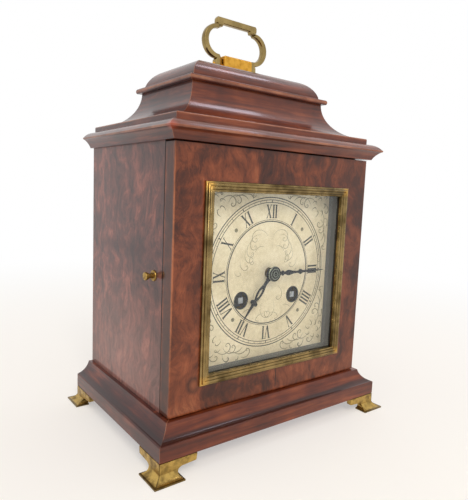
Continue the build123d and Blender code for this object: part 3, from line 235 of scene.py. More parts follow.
# %% Figured veneer
def figured_veneer(name, palette, flame_mm, flow, warp_mm, mottle, lean=0.0, marks=()):
    """French polished veneer. Flow stretches the figure along X, Y and Z, and lean tips it over."""
    made, tree, shader, place = begin(name)
    slow = add(tree, "TexNoise", {
        "Vector": place, "Scale": per_mm(warp_mm), "Detail": 3.0, "Roughness": 0.55})
    centred = add(tree, "VectorMath", {0: slow.outputs["Color"], 1: (0.5, 0.5, 0.5)}, operation="SUBTRACT")
    pushed = add(tree, "VectorMath", {0: centred, "Scale": warp_mm * 0.8 * MM}, operation="SCALE")
    bent = add(tree, "VectorMath", {0: place, 1: pushed}, operation="ADD")
    drawn = add(tree, "Mapping", {"Vector": bent, "Scale": flow, "Rotation": (lean, 0.0, 0.0)})
    flame = add(tree, "TexNoise", {
        "Vector": drawn, "Scale": per_mm(flame_mm), "Detail": 6.0, "Roughness": 0.58, "Distortion": 1.4})
    blotch = add(tree, "TexNoise", {
        "Vector": bent, "Scale": per_mm(flame_mm * 0.32), "Detail": 4.0, "Roughness": 0.6})
    mixed = add(tree, "Mix", {0: mottle, 2: flame, 3: blotch}, data_type="FLOAT")
    feather_place = add(tree, "Mapping", {"Vector": bent, "Scale": (1.0, 1.0, 0.16)})
    feather = add(tree, "TexNoise", {
        "Vector": feather_place, "Scale": per_mm(2.8), "Detail": 4.0, "Roughness": 0.65})
    figure = add(tree, "Mix", {0: 0.24, 2: mixed, 3: feather}, data_type="FLOAT")
    colour = add(tree, "ValToRGB", {"Fac": figure}, stops=palette)
    pore_place = add(tree, "Mapping", {"Vector": bent, "Scale": (1.0, 1.0, 0.12)})
    pores = add(tree, "TexNoise", {
        "Vector": pore_place, "Scale": per_mm(0.8), "Detail": 2.0, "Roughness": 0.7})
    pore_mask = add(tree, "MapRange", {
        "Value": pores, "From Min": 0.36, "From Max": 0.56, "To Min": 0.3, "To Max": 0.0})
    shown = add(tree, "Mix", {0: pore_mask, 6: colour, 7: palette[0][1]}, data_type="RGBA")
    for mark in marks:
        shown = marked(tree, place, feather, shown, *mark)
    rough = add(tree, "MapRange", {"Value": blotch, "To Min": 0.34, "To Max": 0.5})
    dents = add(tree, "Bump", {"Height": pores, "Strength": 0.06, "Distance": 0.1 * MM})
    feed(shader, {"Base Color": shown, "Roughness": rough, "Normal": dents})
    polish(shader, 0.55, 0.07)
    return made


# %% The front
# The marks are the front's darker edge, a rubbed arris, a knot with a paler heart, a darker right stile and a
# crack in the lower rail.
half_case = 75.0
front_face = -49.4
finishes = {}
finishes["door_veneer"] = figured_veneer(
    "front veneer, French polished",
    [(0.37, "#2b120a"), (0.45, "#4d220f"), (0.51, "#6b3217"), (0.58, "#864425"), (0.68, "#9f5e39")],
    flame_mm=34.0, flow=(1.0, 1.0, 0.6), warp_mm=50.0, mottle=0.34,
    marks=[("#241009", (-half_case, -44.6, 100.0), (3.0, 4.3, 160.0), 0.3, 1.1),
           ("#b8714a", (-half_case, front_face, 110.0), (0.8, 1.0, 84.0), 0.5, 1.1),
           ("#2c130a", (-60.0, front_face, 43.3), (5.6, 6.0, 6.2), 0.45, 1.7),
           ("#9a5430", (-59.6, front_face, 43.1), (3.8, 3.6, 4.2), 0.75, 1.3),
           ("#2b120a", (74.0, front_face, 110.0), (34.0, 6.0, 100.0), 0.9, 0.7),
           ("#1c0c07", (0.9, front_face, 35.8), (0.45, 1.0, 8.5), 0.5, 2.0)])

# %% The sides and the back
# The marks on the sides are a dark band above the button, which is a painted reflection, the joint beside
# the door and a paler lower part.
finishes["side_veneer"] = figured_veneer(
    "side veneer, French polished",
    [(0.38, "#38201d"), (0.45, "#50302b"), (0.51, "#683c34"), (0.57, "#864e41"), (0.66, "#a06454")],
    flame_mm=22.0, flow=(1.0, 1.0, 0.55), warp_mm=40.0, mottle=0.42, lean=0.35,
    # The first mark, the dark band above the button, is a painted reflection.
    marks=[("#341513", (-half_case, 10.0, 114.0), (3.0, 70.0, 6.0), 0.8, 1.1),
           ("#160a07", (-half_case, -39.2, 100.0), (3.0, 0.8, 120.0), 0.3, 2.0),
           ("#b48378", (-half_case, 10.0, 40.0), (3.0, 80.0, 60.0), 0.9, 0.8)])
finishes["back_veneer"] = figured_veneer(
    "back door veneer, French polished",
    [(0.38, "#32150c"), (0.47, "#522715"), (0.55, "#6e3a22"), (0.64, "#834e33")],
    flame_mm=26.0, flow=(1.0, 1.0, 0.35), warp_mm=50.0, mottle=0.3)
print("veneers:", sorted(finishes))

# %% [markdown]
# The mouldings are solid mahogany, worked along the grain, mitred at the corners, stained plum brown and
# polished. The grain runs along each side, so the pattern is laid along X where a face looks forwards or
# back, and along Y where it looks sideways.

# %% Grain that follows the side of the case
def lengthwise_grain(tree, place):
    """The mask of the faces that look sideways, and grain drawn out along each side."""
    facing = add(tree, "SeparateXYZ", {0: place.node.outputs["Normal"]})
    across_x = add(tree, "Math", {0: facing.outputs["X"]}, operation="ABSOLUTE")
    across_y = add(tree, "Math", {0: facing.outputs["Y"]}, operation="ABSOLUTE")
    is_side = add(tree, "Math", {0: across_x, 1: across_y}, operation="GREATER_THAN")
    front_run = add(tree, "Mapping", {"Vector": place, "Scale": (0.07, 1.0, 1.0)})
    side_run = add(tree, "Mapping", {
        "Vector": place, "Scale": (1.0, 0.07, 1.0), "Location": (0.31, 0.17, 0.0)})
    run = add(tree, "Mix", {0: is_side, 4: front_run, 5: side_run}, data_type="VECTOR")
    grain = add(tree, "TexNoise", {
        "Vector": run, "Scale": per_mm(2.6), "Detail": 5.0, "Roughness": 0.6, "Distortion": 0.3})
    return is_side, grain


# %% [markdown]
# Edges that hands and dusters touch are worn to a paler orange brown. How far a point stands out from the
# case and how high it is decide which edge it is on. The mask of an edge, of a painted dark reflection in a
# hollow or of a bruised corner is then a distance that fades out.

# %% Masks by distance
def near_mask(tree, where, centre, full, gone, most):
    """A mask that is most up to one distance from a centre and nothing past another, all in mm."""
    away = add(tree, "VectorMath", {0: where, 1: [c * MM for c in centre]}, operation="DISTANCE")
    return add(tree, "MapRange", {
        "Value": away, "From Min": full * MM, "From Max": gone * MM, "To Min": most, "To Max": 0.0})


def standing_out(tree, place, mitre_wear):
    """How far out and how high a point is, and the mask of the mitres between front and side."""
    spot = add(tree, "SeparateXYZ", {0: place})
    wide = add(tree, "Math", {0: spot.outputs["X"]}, operation="ABSOLUTE")
    side_out = add(tree, "Math", {0: wide, 1: half_case * MM}, operation="SUBTRACT")
    front_out = add(tree, "Math", {0: front_face * MM, 1: spot.outputs["Y"]}, operation="SUBTRACT")
    out = add(tree, "Math", {0: side_out, 1: front_out}, operation="MAXIMUM")
    stands = add(tree, "CombineXYZ", {0: out, 1: spot.outputs["Z"]})
    mitres = add(tree, "Math", {0: side_out, 1: front_out, 2: mitre_wear * MM}, operation="COMPARE")
    return stands, mitres


# %% Polished mouldings
def moulding_finish(name, tones, worn, front=None, worn_edges=(), mitre_wear=0.0, painted_reflection=None, chip=None):
    """Stained and polished mahogany in three tones. Front is the tones of the faces that look forwards, a
    painted lighter copy for the light that falls on them. Worn edges and the painted reflection are how far
    out, how high and how wide, and chip is a place and a size, in mm."""
    made, tree, shader, place = begin(name)
    is_side, grain = lengthwise_grain(tree, place)
    broad = add(tree, "TexNoise", {"Vector": place, "Scale": per_mm(26.0), "Detail": 3.0})
    mixed = add(tree, "Mix", {0: 0.45, 2: grain, 3: broad}, data_type="FLOAT")
    # The front tones are painted light: a lighter, redder copy of the stain for the faces that look forwards.
    stained, lit_front_tones = [
        add(tree, "ValToRGB", {"Fac": mixed}, stops=list(zip((0.34, 0.5, 0.66), three)))
        for three in (tones, front or tones)]
    colour = add(tree, "Mix", {0: is_side, 6: lit_front_tones, 7: stained}, data_type="RGBA")
    rub = add(tree, "TexNoise", {"Vector": place, "Scale": per_mm(16.0), "Detail": 3.0, "Roughness": 0.6})
    patchy = add(tree, "MapRange", {
        "Value": rub, "From Min": 0.38, "From Max": 0.62, "To Min": 0.2, "To Max": 0.62})
    stands, wear = standing_out(tree, place, mitre_wear)
    for edge_out, edge_z, width in worn_edges:
        line = near_mask(tree, stands, (edge_out, edge_z, 0.0), width * 0.6, width, 1.0)
        wear = add(tree, "Math", {0: wear, 1: line}, operation="MAXIMUM")
    rubbed = add(tree, "Math", {0: wear, 1: patchy}, operation="MULTIPLY")
    shown = add(tree, "Mix", {0: rubbed, 6: colour, 7: worn}, data_type="RGBA")
    # The painted reflection is a dark band in a hollow, laid in the darkest tone.
    if painted_reflection:
        reflection_out, reflection_z, width = painted_reflection
        reflection_mask = near_mask(tree, stands, (reflection_out, reflection_z, 0.0), width * 0.4, width, 0.8)
        shown = add(tree, "Mix", {0: reflection_mask, 6: shown, 7: tones[0]}, data_type="RGBA")
    if chip:
        *chip_place, width = chip
        bared = near_mask(tree, place, chip_place, width * 0.3, width, 0.8)
        shown = add(tree, "Mix", {0: bared, 6: shown, 7: "#a04a34"}, data_type="RGBA")
    dents = add(tree, "Bump", {"Height": grain, "Strength": 0.05, "Distance": 0.1 * MM})
    feed(shader, {"Base Color": shown, "Normal": dents, "Roughness": 0.38})
    polish(shader, 0.6, 0.11)
    return made


# %% Mouldings and inner wood
# Here the front tones are painted light, and the dark band low in the plinth's cavetto is a painted
# reflection.
finishes["moulding"] = moulding_finish(
    "mouldings, stained and polished", ("#240c0b", "#481a11", "#7a381f"), "#b27757",
    front=("#34120a", "#5f2712", "#884321"),
    worn_edges=[(7.3, 180.5, 0.8), (0.2, 184.7, 0.6), (-0.7, 188.3, 0.7), (-20.5, 212.1, 0.9),
                (-24.9, 214.0, 0.4)],
    mitre_wear=0.2, painted_reflection=(8.4, 19.7, 2.9), chip=(-81.9, -56.3, 180.6, 5.0))
finishes["plain_wood"] = moulding_finish(
    "inner wood, oiled", ("#3c2415", "#573722", "#6d4a2f"), "#7a573a")
print("woods:", sorted(finishes))

# %% [markdown]
# Brass turns from gold to olive as it ages, and stays bright where it is rubbed. The mitres of the sight
# bezel are shown a brighter gold, and the mitre of each bracket foot and the lowest millimetre of its toe a
# darker tone. Both are masks worked out from where a point is.

# %% Masks on the bezel and the feet
sight_z = 98.3


def bezel_mitres(tree, place):
    """The mask of the four mitres of the sight bezel."""
    middle = add(tree, "VectorMath", {0: place, 1: (0.0, 0.0, sight_z * MM)}, operation="SUBTRACT")
    sized = add(tree, "VectorMath", {0: middle}, operation="ABSOLUTE")
    spot = add(tree, "SeparateXYZ", {0: sized})
    least = add(tree, "Math", {0: spot.outputs["X"], 1: spot.outputs["Z"]}, operation="MINIMUM")
    return add(tree, "MapRange", {
        "Value": least, "From Min": 50.2 * MM, "From Max": 53.4 * MM, "To Max": 0.65})


def foot_seams(tree, place):
    """The mask of each foot's mitre, 0.4 mm to both sides of it, and of the lowest millimetre of its toe."""
    sized = add(tree, "VectorMath", {0: place}, operation="ABSOLUTE")
    spot = add(tree, "SeparateXYZ", {0: sized})
    across = add(tree, "Math", {0: spot.outputs["X"], 1: spot.outputs["Y"]}, operation="SUBTRACT")
    mitre = add(tree, "Math", {0: across, 1: (half_case + front_face) * MM, 2: 0.4 * MM},
                operation="COMPARE")
    toe = add(tree, "Math", {0: spot.outputs["Z"], 1: 1.0 * MM}, operation="LESS_THAN")
    kept = add(tree, "Math", {0: mitre, 1: toe}, operation="MAXIMUM")
    return add(tree, "Math", {0: kept, 1: 0.65}, operation="MULTIPLY")


# %% [markdown]
# Each metal finish is one metal with two tones, tarnish in patches some millimetres across, and fine
# polishing lines. The metal keeps Blender's own IOR, because a metal's colour is its reflection.

# %% A worn metal
def metal_finish(name, bright, dull, patch_mm, low, high, rough, brushed=(1.0, 1.0, 1.0), relief=0.06,
                 detail=5.0, corner=None, seam=None):
    """Two tones in patches, with fine brushing drawn out along an axis. Corner is a third, brighter tone for
    the mitres of the bezel, and seam a darker one for the mitres and toes of the feet."""
    made, tree, shader, place = begin(name)
    patches = add(tree, "TexNoise", {
        "Vector": place, "Scale": per_mm(patch_mm), "Detail": detail, "Roughness": 0.65})
    share = add(tree, "MapRange", {"Value": patches, "From Min": low, "From Max": high})
    colour = add(tree, "Mix", {0: share, 6: dull, 7: bright}, data_type="RGBA")
    for tone, mask in ((corner, bezel_mitres), (seam, foot_seams)):
        if tone:
            colour = add(tree, "Mix", {0: mask(tree, place), 6: colour, 7: tone}, data_type="RGBA")
    lines_place = add(tree, "Mapping", {"Vector": place, "Scale": brushed})
    lines = add(tree, "TexNoise", {"Vector": lines_place, "Scale": per_mm(0.5), "Detail": 2.0})
    roughness = add(tree, "MapRange", {
        "Value": patches, "From Min": low, "From Max": high, "To Min": rough + 0.16, "To Max": rough})
    scratches = add(tree, "Bump", {"Height": lines, "Strength": relief, "Distance": 0.05 * MM})
    feed(shader, {"Base Color": colour, "Roughness": roughness, "Normal": scratches, "Metallic": 1.0})
    return made


# %% Brass, steel and iron
finishes["aged_brass"] = metal_finish(
    "aged brass, cast and dulled", "#b99857", "#7c6539", 5.0, 0.34, 0.64, 0.26, relief=0.03, detail=3.0)
foot_brass = metal_finish(
    "cast brass feet, dulled", "#c09f58", "#7c6539", 5.0, 0.34, 0.6, 0.26, relief=0.03, detail=3.0,
    seam="#3a2f1c")
bezel_brass = metal_finish(
    "drawn brass bezel, aged", "#9c8558", "#5d4d30", 12.0, 0.34, 0.64, 0.2, relief=0.02, detail=2.0,
    corner="#d3a556")
for slot, name, bright, dull, patch_mm, low, high, rough, extra in (
        ("bright_brass", "bright brass, filed", "#dca645", "#bb8630", 3.0, 0.3, 0.55, 0.36, {}),
        ("antique_brass", "antique brass, lacquer worn off", "#a8915f", "#7d6a42", 9.0, 0.3, 0.66, 0.2,
         {"relief": 0.02}),
        ("hardware_brass", "turned brass", "#b59350", "#6f5428", 2.5, 0.36, 0.6, 0.3, {}),
        ("movement_brass", "movement brass, grained", "#c9a558", "#a2813f", 6.0, 0.3, 0.7, 0.3,
         {"brushed": (1.0, 1.0, 0.05)}),
        ("steel", "bright steel", "#b4b6b8", "#84868a", 3.0, 0.3, 0.65, 0.26, {"brushed": (1.0, 0.05, 1.0)}),
        ("gong_steel", "gong steel, blued", "#4a5468", "#2e3444", 5.0, 0.3, 0.7, 0.3, {}),
        ("iron", "cast iron, blackened", "#3c3a38", "#262422", 2.0, 0.3, 0.7, 0.55, {}),
        ("blued_steel", "hand steel, blackened", "#30343a", "#15171a", 2.5, 0.34, 0.62, 0.22, {})):
    finishes[slot] = metal_finish(name, bright, dull, patch_mm, low, high, rough, **extra)
print("finishes so far:", len(finishes))

# %% [markdown]
# The dial is brass that has been silvered: silver chloride is rubbed into the grained metal and lacquered. It
# reads as a warm matt cream, with tarnish that gathers slowly, and grain lines too fine to see one by one, so
# they are drawn 0.5 mm apart. The walls of the winding holes are painted black, as painted shade for the deep
# recess behind the dial.

# %% Silvered dial
dial_y = -39.2
dial_z = 100.2
winding_x = 21.2
winding_z = 84.5


def dial_finish():
    """Silvered brass under old lacquer."""
    made, tree, shader, place = begin("silvered brass, lacquered")
    clouds = add(tree, "TexNoise", {"Vector": place, "Scale": per_mm(22.0), "Detail": 5.0, "Roughness": 0.6})
    specks = add(tree, "TexNoise", {"Vector": place, "Scale": per_mm(1.6), "Detail": 3.0, "Roughness": 0.7})
    mixed = add(tree, "Mix", {0: 0.4, 2: clouds, 3: specks}, data_type="FLOAT")
    colour = add(tree, "ValToRGB", {"Fac": mixed},
                 stops=[(0.34, "#bfae8f"), (0.48, "#d3c3a4"), (0.62, "#e0d2b8")])
    # Painted shade: inside the winding holes the plate is painted black for the dark recess behind them.
    either_side = add(tree, "VectorMath", {0: place}, operation="ABSOLUTE")
    flat = add(tree, "VectorMath", {0: either_side, 1: (1.0, 0.0, 1.0)}, operation="MULTIPLY")
    from_hole = add(tree, "VectorMath", {0: flat, 1: (winding_x * MM, 0.0, winding_z * MM)},
                    operation="DISTANCE")
    inside = add(tree, "Math", {0: from_hole, 1: 5.2 * MM}, operation="LESS_THAN")
    colour = add(tree, "Mix", {0: inside, 6: colour, 7: "#0c0b0a"}, data_type="RGBA")
    grain_place = add(tree, "Mapping", {"Vector": place, "Scale": (0.06, 1.0, 1.0)})
    grain = add(tree, "TexNoise", {"Vector": grain_place, "Scale": per_mm(0.5), "Detail": 2.0})
    lines = add(tree, "Bump", {"Height": grain, "Strength": 0.1, "Distance": 0.05 * MM})
    feed(shader, {"Base Color": colour, "Normal": lines, "Metallic": 0.3, "Roughness": 0.48})
    return made


# %% [markdown]
# The wax in the engraving is black shellac, and the fine scrolls have lost most of theirs, so they show grey.
# Wax and the paint in the door's opening are matt, with two close tones and a fine tooth.

# %% Wax and lining
def matt_finish(name, tone, other, size_mm, rough, bump):
    """A matt surface of two close tones with a fine tooth."""
    made, tree, shader, place = begin(name)
    tooth = add(tree, "TexNoise", {
        "Vector": place, "Scale": per_mm(size_mm), "Detail": 4.0, "Roughness": 0.65})
    colour = add(tree, "Mix", {0: tooth, 6: tone, 7: other}, data_type="RGBA")
    relief = add(tree, "Bump", {"Height": tooth, "Strength": bump, "Distance": 0.1 * MM})
    feed(shader, {"Base Color": colour, "Normal": relief, "Roughness": rough})
    return made


finishes["silvered_dial"] = dial_finish()
finishes["lining"] = matt_finish("opening lining, grey paint", "#414246", "#555552", 4.0, 0.6, 0.1)
black_wax = matt_finish("black wax filling", "#0e0c0a", "#24211c", 0.8, 0.45, 0.15)
worn_wax = matt_finish("worn wax in fine engraving", "#4f4733", "#857a5c", 1.2, 0.5, 0.1)

# %% [markdown]
# The door glass is a thin flat pane. Its reflections come from a coat with the IOR of glass, over a clear
# body of a low IOR, because a pane this thin hardly shifts what is behind it. Light has to reach the dial
# through it, so shadow rays pass. Old glass is not quite flat, so a very slow bump bends the reflections a
# little.

# %% Door glass
def pane_finish():
    """Thin flat glass with a slight draw."""
    made, tree, shader, place = begin("window glass, drawn")
    slow = add(tree, "TexNoise", {"Vector": place, "Scale": per_mm(60.0)})
    wave = add(tree, "Bump", {"Height": slow, "Strength": 0.02, "Distance": MM})
    feed(shader, {"Normal": wave, "Base Color": "#fbfdfb", "Roughness": 0.0, "IOR": 1.05,
                  "Transmission Weight": 1.0, "Coat Weight": 0.8, "Coat Roughness": 0.0, "Coat IOR": 1.5})
    rays = add(tree, "LightPath")
    clear = add(tree, "BsdfTransparent", {"Color": "#f6f8f6"})
    passed = add(tree, "MixShader", {0: rays.outputs["Is Shadow Ray"], 1: shader, 2: clear})
    feed(tree.nodes["Material Output"], {"Surface": passed})
    return made


finishes["glass"] = pane_finish()

# %% Give every CAD node its finish
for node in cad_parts.values():
    slot_name = node.material_slots[0].material.name
    node.material_slots[0].material = finishes[slot_name]
print("finishes in use:", len(finishes))


def finish(piece, slot, body, material=None, node=None):
    """Paints a piece with its finish, or the slot's finish when none is given, makes it ride on its body
    and, with a node, stand for that CAD node.
    """
    piece.data.materials.clear()
    piece.data.materials.append(material or finishes[slot])
    if node:
        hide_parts(node)
    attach(piece, body)


# %% [markdown]
# ## The case
# A moulding is planed along a length of wood, and then mitred at the corners of the case. Here one flat
# outline is extruded upwards in short steps, and each new edge loop is sized to the next point of the
# profile, so that the mitres come by themselves. The back of the plinth and of the cornice is flat.

# %% Points along an arc
def arc(start, through, end, steps):
    """Points along a circular arc through three points, without the first."""
    (x1, y1), (x2, y2), (x3, y3) = start, through, end
    d = 2 * (x1 * (y2 - y3) + x2 * (y3 - y1) + x3 * (y1 - y2))
    a1, a2, a3 = x1 * x1 + y1 * y1, x2 * x2 + y2 * y2, x3 * x3 + y3 * y3
    cx = (a1 * (y2 - y3) + a2 * (y3 - y1) + a3 * (y1 - y2)) / d
    cy = (a1 * (x3 - x2) + a2 * (x1 - x3) + a3 * (x2 - x1)) / d
    radius = math.hypot(x1 - cx, y1 - cy)
    first = math.atan2(y1 - cy, x1 - cx)
    middle = (math.atan2(y2 - cy, x2 - cx) - first) % (2 * math.pi)
    last = (math.atan2(y3 - cy, x3 - cx) - first) % (2 * math.pi)
    sweep = last if middle < last else last - 2 * math.pi
    angles = [first + sweep * i / steps for i in range(1, steps + 1)]
    return [(cx + radius * math.cos(t), cy + radius * math.sin(t)) for t in angles]


# %% Extrude a tier of the case step by step
rear_face = 59.9


def tier(name, base_z, profile, rear_out=None):
    """A storey of the case. Each profile point is how far it stands out and how high it is, in mm."""
    def outline(out):
        rear = rear_face + (out if rear_out is None else rear_out)
        return half_case + out, front_face - out, rear

    wide, front, rear = outline(profile[0][0])
    level = profile[0][1]
    bpy.ops.mesh.primitive_plane_add(size=1, location=(0, (front + rear) / 2 * MM, (base_z + level) * MM))
    piece = bpy.context.object
    piece.name = name
    piece.scale = (2 * wide * MM, (rear - front) * MM, 1)
    settle(piece)
    edit_all()
    for out, height in profile[1:]:
        bpy.ops.mesh.extrude_region_move(TRANSFORM_OT_translate={"value": (0, 0, (height - level) * MM)})
        new_wide, new_front, new_rear = outline(out)
        stretch = (new_rear - new_front) / (rear - front)
        if abs(stretch - 1) > 1e-9:
            fixed = (new_front - stretch * front) / (1 - stretch)
            bpy.ops.transform.resize(
                value=(new_wide / wide, stretch, 1), center_override=(0, fixed * MM, 0),
                orient_type="GLOBAL")
        wide, front, rear, level = new_wide, new_front, new_rear, height
    close_up()
    return piece


# %% Profiles of the plinth and the cornice
plinth_profile = [(10.1, 0), (10.52, 0.18), (10.7, 0.6), (10.7, 8.3), (10.52, 8.72), (10.1, 8.9)]
plinth_profile += arc((10.1, 8.9), (5.45, 11.65), (2.6, 16.8), 12)

cornice_profile = [(2.2, 0)] + arc((2.2, 0), (3.85, 2.8), (6.5, 5.2), 8)
cornice_profile += arc((6.5, 5.2), (7.4, 6.0), (6.8, 6.8), 5)
cornice_profile += arc((6.8, 6.8), (4.292, 9.0), (0.4, 10.2), 8)

# %% Profiles of the caddy top
sweep_profile = [(-0.6, 0), (-0.6, 3.2), (-0.78, 3.62), (-1.2, 3.8), (-3.0, 3.8)]
sweep_profile += arc((-3.0, 3.8), (-17.178, 10.62), (-23.4, 25.8), 18)

lath_profile = [(-21.0, 0)] + arc((-21.0, 0), (-20.4, 1.5), (-21.0, 3.0), 8)

cushion_profile = [(-24.8, 0), (-24.8, 1.6)]
cushion_profile += arc((-24.8, 1.6), (-27.932, 7.2), (-36.4, 12.0), 14)

# %% Plinth, cornice, sweep, lath and cushion
for name, node, base_z, profile, rear_out in (
        ("plinth_moulding", "plinth", 10.0, plinth_profile, 0.2),
        ("cornice_moulding", "cornice_board", 174.6, cornice_profile, 0.2),
        ("caddy_sweep_moulding", "caddy_sweep", 184.8, sweep_profile, None),
        ("caddy_lath_moulding", "caddy_lath", 210.6, lath_profile, None),
        ("caddy_cushion_top", "caddy_cushion", 213.6, cushion_profile, None)):
    piece = tier(name, base_z, profile, rear_out)
    soften(piece, 0.25)
    finish(piece, "moulding", "case", node=node)
    print(piece.name, len(piece.data.polygons), "faces")

# %% [markdown]
# The door is one thick frame, veneered on its face and edges. Its shape is right in the CAD, so a copy is
# softened. The bolection edge of the veneer is rubbed, so its corners are rounder than a saw leaves them.

# %% Door frame and back door
door = dressed_copy("door_frame", "door_frame_polished", 0.35, corner=20)
finish(door, "door_veneer", "front_door")
back = dressed_copy("back_door", "back_door_polished", 0.3)
finish(back, "back_veneer", "rear_door")
print("door faces:", len(door.data.polygons), "back door faces:", len(back.data.polygons))

# %% [markdown]
# The sight bezel is a drawn brass moulding, two full reeds between two smaller beads, cut at 45 degrees and
# pinned round the opening. One square edge loop is extruded through the profile: each step grows it and moves
# it forward or back. It is made flat and then stood up.

# %% Extrude a moulding round a square
def reeded_square(name, profile):
    """A square frame. The closed profile is half width and depth in front of the door, in mm."""
    size, depth = profile[0]
    bpy.ops.mesh.primitive_plane_add(size=2 * size * MM, location=(0, 0, depth * MM))
    piece = bpy.context.object
    piece.name = name
    settle(piece)
    edit_all()
    bpy.ops.mesh.delete(type="ONLY_FACE")
    bpy.ops.mesh.select_all(action="SELECT")
    for new_size, new_depth in profile[1:] + profile[:1]:
        bpy.ops.mesh.extrude_edges_move(TRANSFORM_OT_translate={"value": (0, 0, (new_depth - depth) * MM)})
        ratio = new_size / size
        bpy.ops.transform.resize(value=(ratio, ratio, 1), center_override=(0, 0, 0), orient_type="GLOBAL")
        size, depth = new_size, new_depth
    close_up(merge_mm=0.001)
    put(piece, (0, front_face, sight_z), turn=(90, 0, 0))
    return piece


# %% Sight bezel
opening = 50.8
bezel_profile = [(opening, -0.9), (opening, 0.9)]
bezel_profile += arc((opening, 0.9), (opening + 0.65, 1.6), (opening + 1.3, 1.3), 5)
bezel_profile += arc((opening + 1.3, 1.3), (opening + 2.1, 2.2), (opening + 2.9, 1.75), 6)
bezel_profile += arc((opening + 2.9, 1.75), (opening + 3.7, 2.5), (opening + 4.5, 1.5), 6)
bezel_profile += arc((opening + 4.5, 1.5), (opening + 5.1, 1.6), (opening + 5.7, 0.9), 4)
bezel_profile += [(opening + 5.7, 0.0), (opening + 1.5, 0.0), (opening + 1.5, -0.9)]
bezel = reeded_square("sight_bezel_reeded", bezel_profile)
take(bezel)
smooth(38)
finish(bezel, "aged_brass", "front_door", bezel_brass, node="sight_bezel")
print("bezel faces:", len(bezel.data.polygons))

# %% [markdown]
# ## Feet and handle
# The bracket feet are cast brass, filed flat below and left full at the top, and the block under the handle
# is cut from bar. A softened copy keeps their shape, with the rounder edges of a casting.

# %% Feet and handle base
feet = dressed_copy("bracket_feet", "bracket_feet_cast", 0.3, corner=25)
finish(feet, "aged_brass", "case", foot_brass)
base = dressed_copy("handle_base", "handle_base_filed", 0.25, corner=25)
finish(base, "bright_brass", "case")
print("feet faces:", len(feet.data.polygons), "handle base faces:", len(base.data.polygons))

# %% [markdown]
# A turned piece is the same all round its axis. Its outline is a row of points, and spin carries the edge
# round. The first and last points lie on the axis or close a ring, so the ends meet when the doubles are
# merged.

# %% Turn a piece on the lathe
def turned(name, outline):
    """A solid of revolution about the local Z axis. The outline is radius and height in mm."""
    bpy.ops.mesh.primitive_circle_add(vertices=3, radius=MM)
    piece = bpy.context.object
    piece.name = name
    edit_all()
    bpy.ops.mesh.merge(type="CENTER")
    radius, height = outline[0]
    bpy.ops.transform.translate(value=(radius * MM, 0, height * MM))
    for new_radius, new_height in outline[1:]:
        step = ((new_radius - radius) * MM, 0, (new_height - height) * MM)
        bpy.ops.mesh.extrude_vertices_move(TRANSFORM_OT_translate={"value": step})
        radius, height = new_radius, new_height
    bpy.ops.mesh.select_all(action="SELECT")
    bpy.ops.mesh.spin(steps=48, angle=2 * math.pi, center=(0, 0, 0), axis=(0, 0, 1))
    close_up(merge_mm=0.0005)
    smooth(32)
    return piece


# %% Release button and its ferrule
# Local Z points out of the left side of the case after the turn below.
button_place = (-half_case, -29.4, 102.1)
button = turned("release_button_turned", [
    (0, -12.0), (1.3, -12.0), (1.3, 3.4), (1.85, 3.5), (1.85, 4.3), (2.15, 4.4), (2.3, 4.6), (2.3, 5.3),
    (2.1, 5.6), (1.75, 5.72), (1.5, 5.62), (1.1, 5.62), (0.6, 5.75), (0, 5.8)])
ferrule = turned("button_ferrule_turned", [
    (1.36, 0), (3.1, 0), (3.1, 0.35), (2.95, 0.62), (2.6, 0.8), (2.2, 0.8), (1.9, 0.62), (1.36, 0.6),
    (1.36, 0)])
for piece, body, node in ((button, "button", "release_button"), (ferrule, "case", "button_ferrule")):
    put(piece, button_place, turn=(0, -90, 0))
    finish(piece, "hardware_brass", body, node=node)
    print(piece.name, len(piece.data.polygons), "faces")

# %% [markdown]
# ## The dial
# The chapter ring is cut in the plate itself: circles, sixty divisions and Roman numerals filled with black
# wax. Each mark here is a very thin inlay, sunk in the plate and standing 0.03 mm proud of it. The dial shows
# four as IIII, as clock dials do.

# %% Give a mark its depth and stand it on the dial
proud = 0.03


def thicken():
    """Gives the flat mark being edited its depth."""
    bpy.ops.mesh.extrude_region_move(TRANSFORM_OT_translate={"value": (0, 0, -2 * proud * MM)})


def stand_up(piece, x=0.0, z=dial_z, turn=0.0):
    """Stands a flat mark up on the dial. Turn is clockwise, in degrees, as a hand goes."""
    put(piece, (0, 0, 0), turn=(90, 0, 0))
    put(piece, (x, dial_y - proud, z), turn=(0, turn, 0))


# %% Circles of the chapter ring
def circle_mark(name, outer, inner, x=0.0, z=dial_z):
    """A flat ring on the dial between two radii."""
    bpy.ops.mesh.primitive_circle_add(vertices=160, radius=outer * MM)
    piece = bpy.context.object
    piece.name = name
    edit_all()
    bpy.ops.mesh.extrude_edges_move()
    bpy.ops.transform.resize(value=(inner / outer, inner / outer, 1), center_override=(0, 0, 0))
    bpy.ops.mesh.select_all(action="SELECT")
    bpy.ops.mesh.normals_make_consistent(inside=False)
    thicken()
    close_up()
    stand_up(piece, x, z)
    return piece


rings = [circle_mark(f"dial_circle_{i}", outer, outer - width) for i, (outer, width) in enumerate(
    [(47.1, 0.62), (45.5, 0.38), (43.9, 0.42), (33.3, 0.3), (32.5, 0.7)])]
for side in (-1, 1):
    rings.append(circle_mark(f"winding_hole_ring_{side + 1}", 5.5, 5.02, side * winding_x, winding_z))
print("rings:", len(rings))


# %% [markdown]
# A numeral is built of strokes. A plane is added for each stroke, sized, and its top edge is slid sideways to
# make a slanting stroke whose ends stay level.

